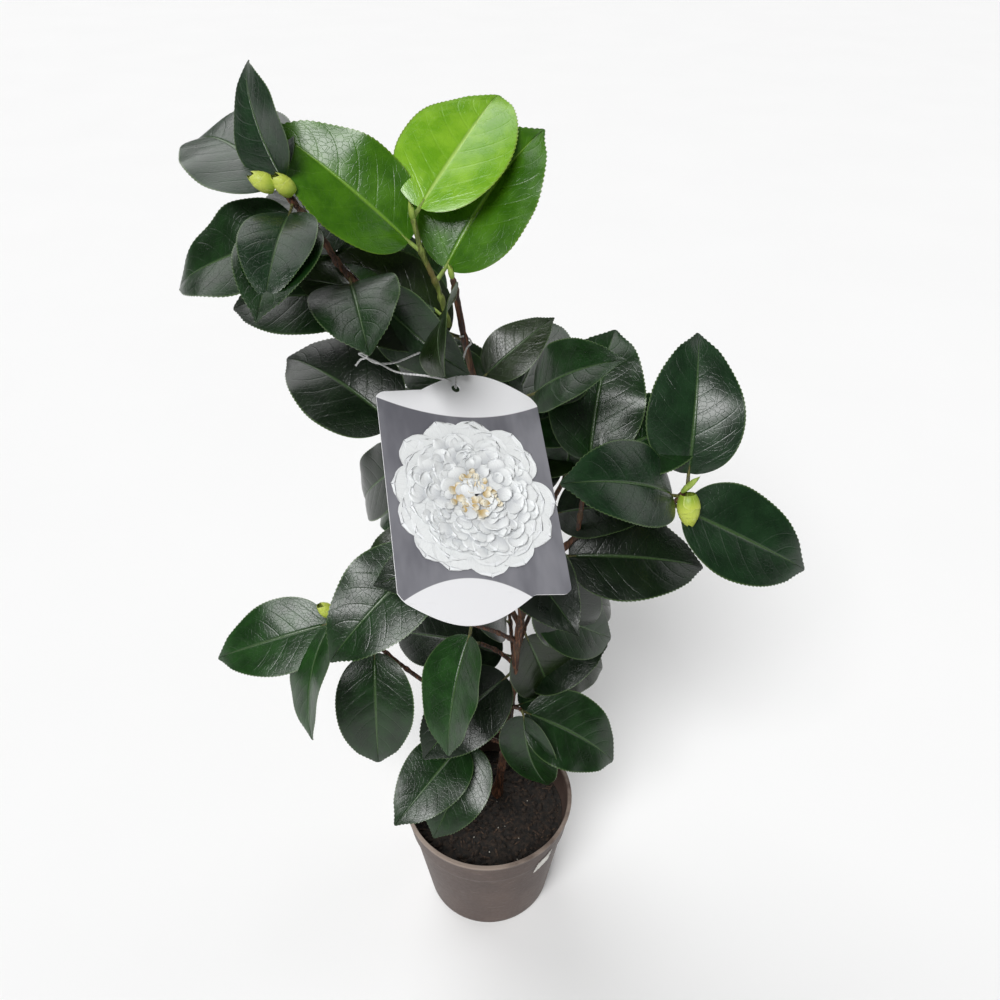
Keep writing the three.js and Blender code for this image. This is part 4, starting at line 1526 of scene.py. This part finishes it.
@dataclass(frozen=True)
class CardFinish(Finish):
    """Printed card: white head and foot, and a soft grey picture ground between them."""

    white: Colour = (0.86, 0.86, 0.88)
    light: Colour = (0.24, 0.24, 0.265)
    dark: Colour = (0.13, 0.13, 0.15)
    head: float = 47.0
    foot: float = -52.0
    head_sag: float = 11.0
    foot_sag: float = 22.0
    foot_shift: float = 11.0
    half: float = 50.0
    roughness: float = 0.35

    def material(self) -> Material:
        """The card's material."""
        material, t, shader = self.start()
        place = t.node("TexCoord").outputs["Object"]
        parts = t.node("SeparateXYZ", Vector=place)
        x, z = (t.math("MULTIPLY", parts.outputs[k], 1 / MM) for k in (0, 2))
        bow = t.math("POWER", t.math("DIVIDE", t.math("ABSOLUTE", x), self.half), 2.0)
        over = t.step(t.math("MULTIPLY_ADD", bow, -self.head_sag, z), self.head - 0.3, self.head + 0.3)
        aside = t.math("DIVIDE", t.math("ADD", x, self.foot_shift), self.half)
        off = t.math("POWER", t.math("ABSOLUTE", aside), 2.0)
        under = t.step(t.math("MULTIPLY_ADD", off, self.foot_sag, z), self.foot + 0.3, self.foot - 0.3)
        p = Group.use(t, "wear", Vector=place, Scale=9.0).outputs
        streaks = t.noise(t.stretch(place, (1, 1, 0.35)), 26.0, 4, 0.6)
        ground = t.mix(t.step(streaks, 0.35, 0.65), self.dark, self.light)
        looks = t.node("SeparateXYZ", Vector=t.node("TexCoord").outputs["Normal"]).outputs[1]
        faced = t.step(looks, -0.2, -0.5)
        printed = t.math("MULTIPLY", faced, t.math("SUBTRACT", 1.0, t.math("MAXIMUM", over, under)))
        colour = t.mix(printed, self.white, ground)
        colour = t.mix(t.math("MULTIPLY", p["Scuff"], 0.06), colour, self.dark)
        rough = t.math("MULTIPLY_ADD", p["Stain"], 0.15, self.roughness - 0.07)
        self.join(t, shader, Base_Color=colour, Roughness=rough, Normal=t.bump(p["Grain"], 0.00004))
        return material


@dataclass
class Tag:
    """A picture tag: a holed card with a raised double flower, on a twisted white string."""

    centre: tuple[float, float, float] = (-4, -89, 518)
    lean: float = -56.6
    spin: float = 25.5
    turn: float = 39.5
    width: float = 100.0
    side: float = 124.0
    rise: float = 15.0
    drop: float = 16.0
    flat: float = 23.0
    thickness: float = 0.9
    corner: float = 5.0
    hole: tuple[float, float] = (-1.6, 66.7)
    hole_radius: float = 2.6
    sag: float = 1.2
    flower_centre: tuple[float, float] = (-0.5, -3.5)
    petals: tuple[tuple[int, float, float], ...] = (
        (13, 49.5, 13.0),
        (12, 44.5, 12.0),
        (11, 39.5, 11.0),
        (10, 34.0, 10.0),
        (9, 27.0, 9.5),
        (7, 19.0, 8.5),
    )
    ruffles: int = 120
    ruffle_reach: float = 31.0
    heart_petals: int = 34
    heart_reach: float = 13.0
    string_radius: float = 0.55
    card: Finish = CardFinish("printed_card")
    petal: Finish = MappedFinish(
        "white_petal",
        roughness=0.5,
        # The grey petal roots are painted shade under the overlapping petals, and also the printed flower's
        # shading
        root=(0.62, 0.64, 0.66),
        tip=(0.86, 0.88, 0.88),
        edge=(0.9, 0.92, 0.94),
        turn=0.4,
    )
    heart: Finish = MappedFinish(
        "cream_petal", roughness=0.5, root=(0.62, 0.44, 0.18), tip=(0.86, 0.82, 0.68), edge=(0.9, 0.88, 0.82)
    )
    thread: Finish = CrumbFinish(
        "string", dark=(0.5, 0.5, 0.5), light=(0.85, 0.85, 0.84), scale=900.0, relief=0.0002
    )

    def __post_init__(self) -> None:
        """Works out the card's place."""
        turns = ((self.turn, "Z"), (self.lean, "X"), (self.spin, "Y"))
        first, second, third = (Matrix.Rotation(math.radians(a), 4, k) for a, k in turns)
        self.pose = Matrix.Translation(Vector(self.centre) * MM) @ first @ second @ third

    def bend(self, x: np.ndarray, z: np.ndarray) -> np.ndarray:
        """How far the bowed card stands back at each place."""
        return self.sag * (x / (self.width / 2)) ** 2 + 0.6 * self.sag * (z / (self.side / 2)) ** 2

    def world(self, x: float, y: float, z: float) -> np.ndarray:
        """A place on the card, in the row frame."""
        return np.array(self.pose @ (Vector((x, y, z)) * MM)) / MM

    def dome(self, x: np.ndarray) -> np.ndarray:
        """The rise of the card's end, level at first and then one long swell."""
        half = self.width / 2
        share = np.clip((x + half - self.flat) / (2 * half - self.flat), 0, 1)
        return np.sin(math.pi * share)

    def outline(self, count: int) -> np.ndarray:
        """The card's edge as seen from its hole.

        Args:
            count: How many points.

        Returns:
            The points, evenly turned about the hole.
        """
        half, side = self.width / 2, self.side / 2
        x = np.linspace(-half, half, 400)
        head = side + self.rise * self.dome(x)
        foot = -side - self.drop * self.dome(-x)
        corner = np.maximum(0, np.abs(x) - (half - self.corner)) ** 2 / self.corner
        head = head - 0.6 * corner
        foot = foot + 0.6 * corner
        edge = np.concatenate([np.stack([x, foot], -1), np.stack([x[::-1], head[::-1]], -1)])
        closed = np.vstack([edge, edge[:1]])
        reach = np.r_[0, np.cumsum(np.linalg.norm(np.diff(closed, axis=0), axis=1))]
        s = np.linspace(0, reach[-1], count, endpoint=False)
        return np.stack([np.interp(s, reach, closed[:, k]) for k in range(2)], -1)

    def sheet(self) -> None:
        """Makes the card."""
        count, rows = 240, 26
        edge = self.outline(count)
        away = edge - np.array(self.hole)
        ring = np.array(self.hole) + unit(away) * self.hole_radius
        t = np.linspace(0, 1, rows)[:, None, None]
        flat = ring[None] * (1 - t) + edge[None] * t
        x, z = flat[..., 0], flat[..., 1]
        y = self.bend(x, z)
        front = np.stack([x, y - self.thickness / 2, z], -1)
        back = np.stack([x, y + self.thickness / 2, z], -1)
        pile = Pile()
        pile.add(front, grid(rows, count, around=True))
        pile.add(back, grid(rows, count, around=True, flip=True))
        pile.add(np.stack([front[-1], back[-1]]), grid(2, count, around=True))
        pile.add(np.stack([back[0], front[0]]), grid(2, count, around=True))
        self.place(pile.piece("tag_card", self.card.material(), Slot.CARD, ("tag",)))

    def place(self, piece: Object) -> None:
        """Sets a piece made on the card's own axes into its place."""
        piece.matrix_world = self.pose
        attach(piece, ROOT)

    def flower(self) -> None:
        """Makes the raised double flower: broad outer petals, ruffled inner ones and a cream heart."""
        outer, heart = Pile(), Pile()
        dealt = random.Random(5)
        for layer, (count, reach, half) in enumerate(self.petals):
            start = dealt.uniform(0, TURN)
            for number in range(count):
                turn = start + TURN * number / count + dealt.uniform(-0.13, 0.13)
                out = max(0.0, reach - 1.9 * half)
                length = reach * dealt.uniform(0.94, 1.0) - out
                self.one_petal(outer, dealt, (out, turn), turn, length, half, 0.16 * layer)
        for number in range(self.ruffles):
            out = self.ruffle_reach * math.sqrt((number + 0.5) / self.ruffles)
            turn = number * 2.4 + dealt.uniform(-0.3, 0.3)
            swing = math.pi if out < self.heart_reach else 1.1
            face = turn + dealt.uniform(-swing, swing)
            size = dealt.uniform(5.5, 9.5)
            lift = 0.75 + 1.3 * (1 - out / self.ruffle_reach) + dealt.uniform(0, 0.4)
            self.one_petal(outer, dealt, (out, turn), face, size, size * dealt.uniform(0.5, 0.8), lift, 1.9)
        for number in range(self.heart_petals):
            out = self.heart_reach * math.sqrt(dealt.random())
            turn = dealt.uniform(0, TURN)
            size = dealt.uniform(3.2, 5.6)
            self.one_petal(heart, dealt, (out, turn), dealt.uniform(0, TURN), size, size * 0.5, 2.3, 1.6)
        self.place(outer.piece("tag_petals", self.petal.material(), Slot.CARD, crease=180))
        self.place(heart.piece("tag_heart", self.heart.material(), Slot.CARD, crease=180))

    def one_petal(
        self,
        pile: Pile,
        dealt: random.Random,
        root: tuple[float, float],
        turn: float,
        length: float,
        half: float,
        lift: float,
        ruffle: float = 0.7,
    ) -> None:
        """Adds a petal, round-ended and waved.

        Args:
            pile: The piece it joins.
            dealt: The seeded source of its waves.
            root: Its root's distance and turn from the flower's middle.
            turn: The way it points.
            length: Its length.
            half: Its half width.
            lift: How far it stands off the card.
            ruffle: How strongly it waves.
        """
        steps = 17
        s = np.linspace(0, 1, steps)[:, None]
        v = np.linspace(-1, 1, steps)[None]
        late = np.clip((s - 0.5) / 0.5, 0, 1)
        full = np.where(s < 0.5, 0.3 + 0.7 * np.sin(math.pi * s), np.sqrt(1 - late**2.6))
        over = half * np.maximum(full, 0.03) * np.sin(v * math.pi / 2)
        notch = 0.05 * length * np.cos(v * math.pi * 2.5 + dealt.uniform(0, 6)) * s**6
        out = length * s * (1 - 0.02 * v**2) - notch
        base_x = self.flower_centre[0] + root[0] * math.cos(root[1])
        base_z = self.flower_centre[1] + root[0] * math.sin(root[1])
        x = base_x + out * math.cos(turn) - over * math.sin(turn)
        z = base_z + out * math.sin(turn) + over * math.cos(turn)
        limit = self.width / 2 - 0.5
        x = np.clip(x, -limit, limit)
        wave = np.sin(dealt.uniform(2.2, 3.6) * v + dealt.uniform(0, 6)) * s**1.5
        rise = lift + ruffle * (0.45 * wave + 0.6 * s**2 + 0.25 * v**2 * s)
        y = self.bend(x, z) - self.thickness / 2 - 0.3 - np.maximum(rise, 0.0)
        pile.add(np.stack([x, y, z], -1), grid(steps, steps, flip=True), blade_map(s, v))

    def cord(self) -> None:
        """Makes the string: up from the hole to the stem, round it, and out to its knot."""
        hole = self.world(self.hole[0], 0, self.hole[1])
        front = self.world(self.hole[0] + 0.4, -2.2, self.hole[1] + 6)
        back = self.world(self.hole[0] - 0.6, 2.4, self.hole[1] + 5)
        stem = LINES["leader"].at(0.84)
        round_stem = [
            stem + np.array([3.4 * math.cos(a), 3.4 * math.sin(a), 1.2 * k])
            for k, a in enumerate(np.linspace(-1.2, 4.4, 7))
        ]
        knot = (-66, -38, 574.5)
        left = stem + np.array([-3, -1.6, 0])
        loop = [(-69, -39, 577), (-67, -41, 578.5), (-64.5, -39.5, 576), (-66.5, -37.5, 573.5)]
        runs = (
            [hole, front, front * 0.5 + stem * 0.5 + np.array([1, -4, 2]), *round_stem],
            [hole, back, (-30, -52, 570), (-48, -46, 569.5), (-58, -42, 573), knot],
            [left, (-34, -24, 571), (-50, -38, 571), (-60, -41, 572.5), knot],
            [knot, *loop, (-69, -36, 572), (-72, -38, 569)],
        )
        pile = Pile()
        for run in runs:
            line = Course(tuple(tuple(p) for p in run), 1, 1).line(24)
            count = max(8, round(line.length / 0.5))
            share = np.linspace(0, 1, count + 1)
            twist = share[:, None] * line.length * 1.5 + TURN * np.arange(12)[None] / 12
            relief = 0.2 * self.string_radius * np.cos(2 * twist)
            vertices, faces, _ = tube(line.at(share), np.full(count + 1, self.string_radius), 12, relief)
            pile.add(vertices, faces)
        pile.piece("tag_string", self.thread.material(), Slot.CARD)

    def build(self) -> None:
        """Makes the card, its flower and its string."""
        self.sheet()
        self.flower()
        self.cord()


# ------------------------------------------------------------------ studio


@dataclass(frozen=True)
class Lamp:
    """A wide soft light from far off: the side it comes from, its spread in degrees, power and colour."""

    name: str
    side: tuple[float, float, float]
    spread: float
    power: float
    colour: Colour = (1, 1, 1)


@dataclass
class Studio:
    """A pale floor, soft light and the camera."""

    floor_side: float = 60.0
    floor_colour: Colour = (0.9, 0.9, 0.9)
    sky: float = 0.08
    camera_place: tuple[float, float, float] = (0.0106, -0.4985, 0.811)
    camera_pitch: float = 36.2
    lens: float = 32.4
    lamps: tuple[Lamp, ...] = (
        Lamp("key", (-0.6, 0.8, 1.0), 55.0, 1.35),
        Lamp("front", (-0.3, -0.8, 0.95), 30.0, 2.75),
        Lamp("edge", (1.2, 0.5, 0.7), 35.0, 0.35),
    )

    def floor(self) -> None:
        """Makes the floor."""
        half = self.floor_side / 2
        rows = np.linspace(-half, half, 9)
        x, y = np.meshgrid(rows, rows, indexing="ij")
        mesh = bpy.data.meshes.new("floor")
        faces = grid(9, 9, flip=True)
        mesh.from_pydata(np.stack([x, y, 0 * x], -1).reshape(-1, 3).tolist(), [], faces.tolist())
        made = in_scene("floor", mesh)
        material, tree, shader = Finish("pale_floor", roughness=0.85, specular=0.2).start()
        tone = tree.noise(tree.node("TexCoord").outputs["Object"], 3.0, 3)
        colour = tree.mix(tone, self.floor_colour, tuple(0.97 * c for c in self.floor_colour))
        tree.tree.links.new(colour, shader.inputs["Base Color"])
        mesh.materials.append(material)

    def light(self) -> None:
        """Sets the lamps and the sky."""
        for lamp in self.lamps:
            data = bpy.data.lights.new(lamp.name, "SUN")
            data.angle = math.radians(lamp.spread)
            data.energy = lamp.power
            data.color = lamp.colour
            made = in_scene(lamp.name, data)
            made.rotation_euler = Vector(lamp.side).to_track_quat("Z", "Y").to_euler()
        world = bpy.data.worlds.new("soft_sky")
        world.use_nodes = True
        world.node_tree.nodes["Background"].inputs[0].default_value = (1, 1, 1, 1)
        world.node_tree.nodes["Background"].inputs[1].default_value = self.sky
        bpy.context.scene.world = world

    def camera(self) -> None:
        """Stands the camera."""
        data = bpy.data.cameras.new("camera")
        data.lens = self.lens
        data.sensor_width = 36.0
        data.clip_end = 200.0
        made = in_scene("camera", data)
        made.location = self.camera_place
        made.rotation_euler = (math.radians(90 - self.camera_pitch), 0, 0)
        bpy.context.scene.camera = made

    def build(self) -> None:
        """Makes the studio."""
        self.camera()
        self.floor()
        self.light()
        bpy.context.scene.view_settings.view_transform = "Standard"


def main() -> None:
    """Builds the plant, its pot, its tag and the studio, logging each piece's face count."""
    logging.basicConfig(level=logging.INFO, format="%(message)s")
    for part in (Studio(), NurseryPot(), Compost(), Wood(), Foliage(), Buds(), Tag()):
        part.build()
        log.info("built %s", type(part).__name__)


if __name__ == "__main__":
    main()
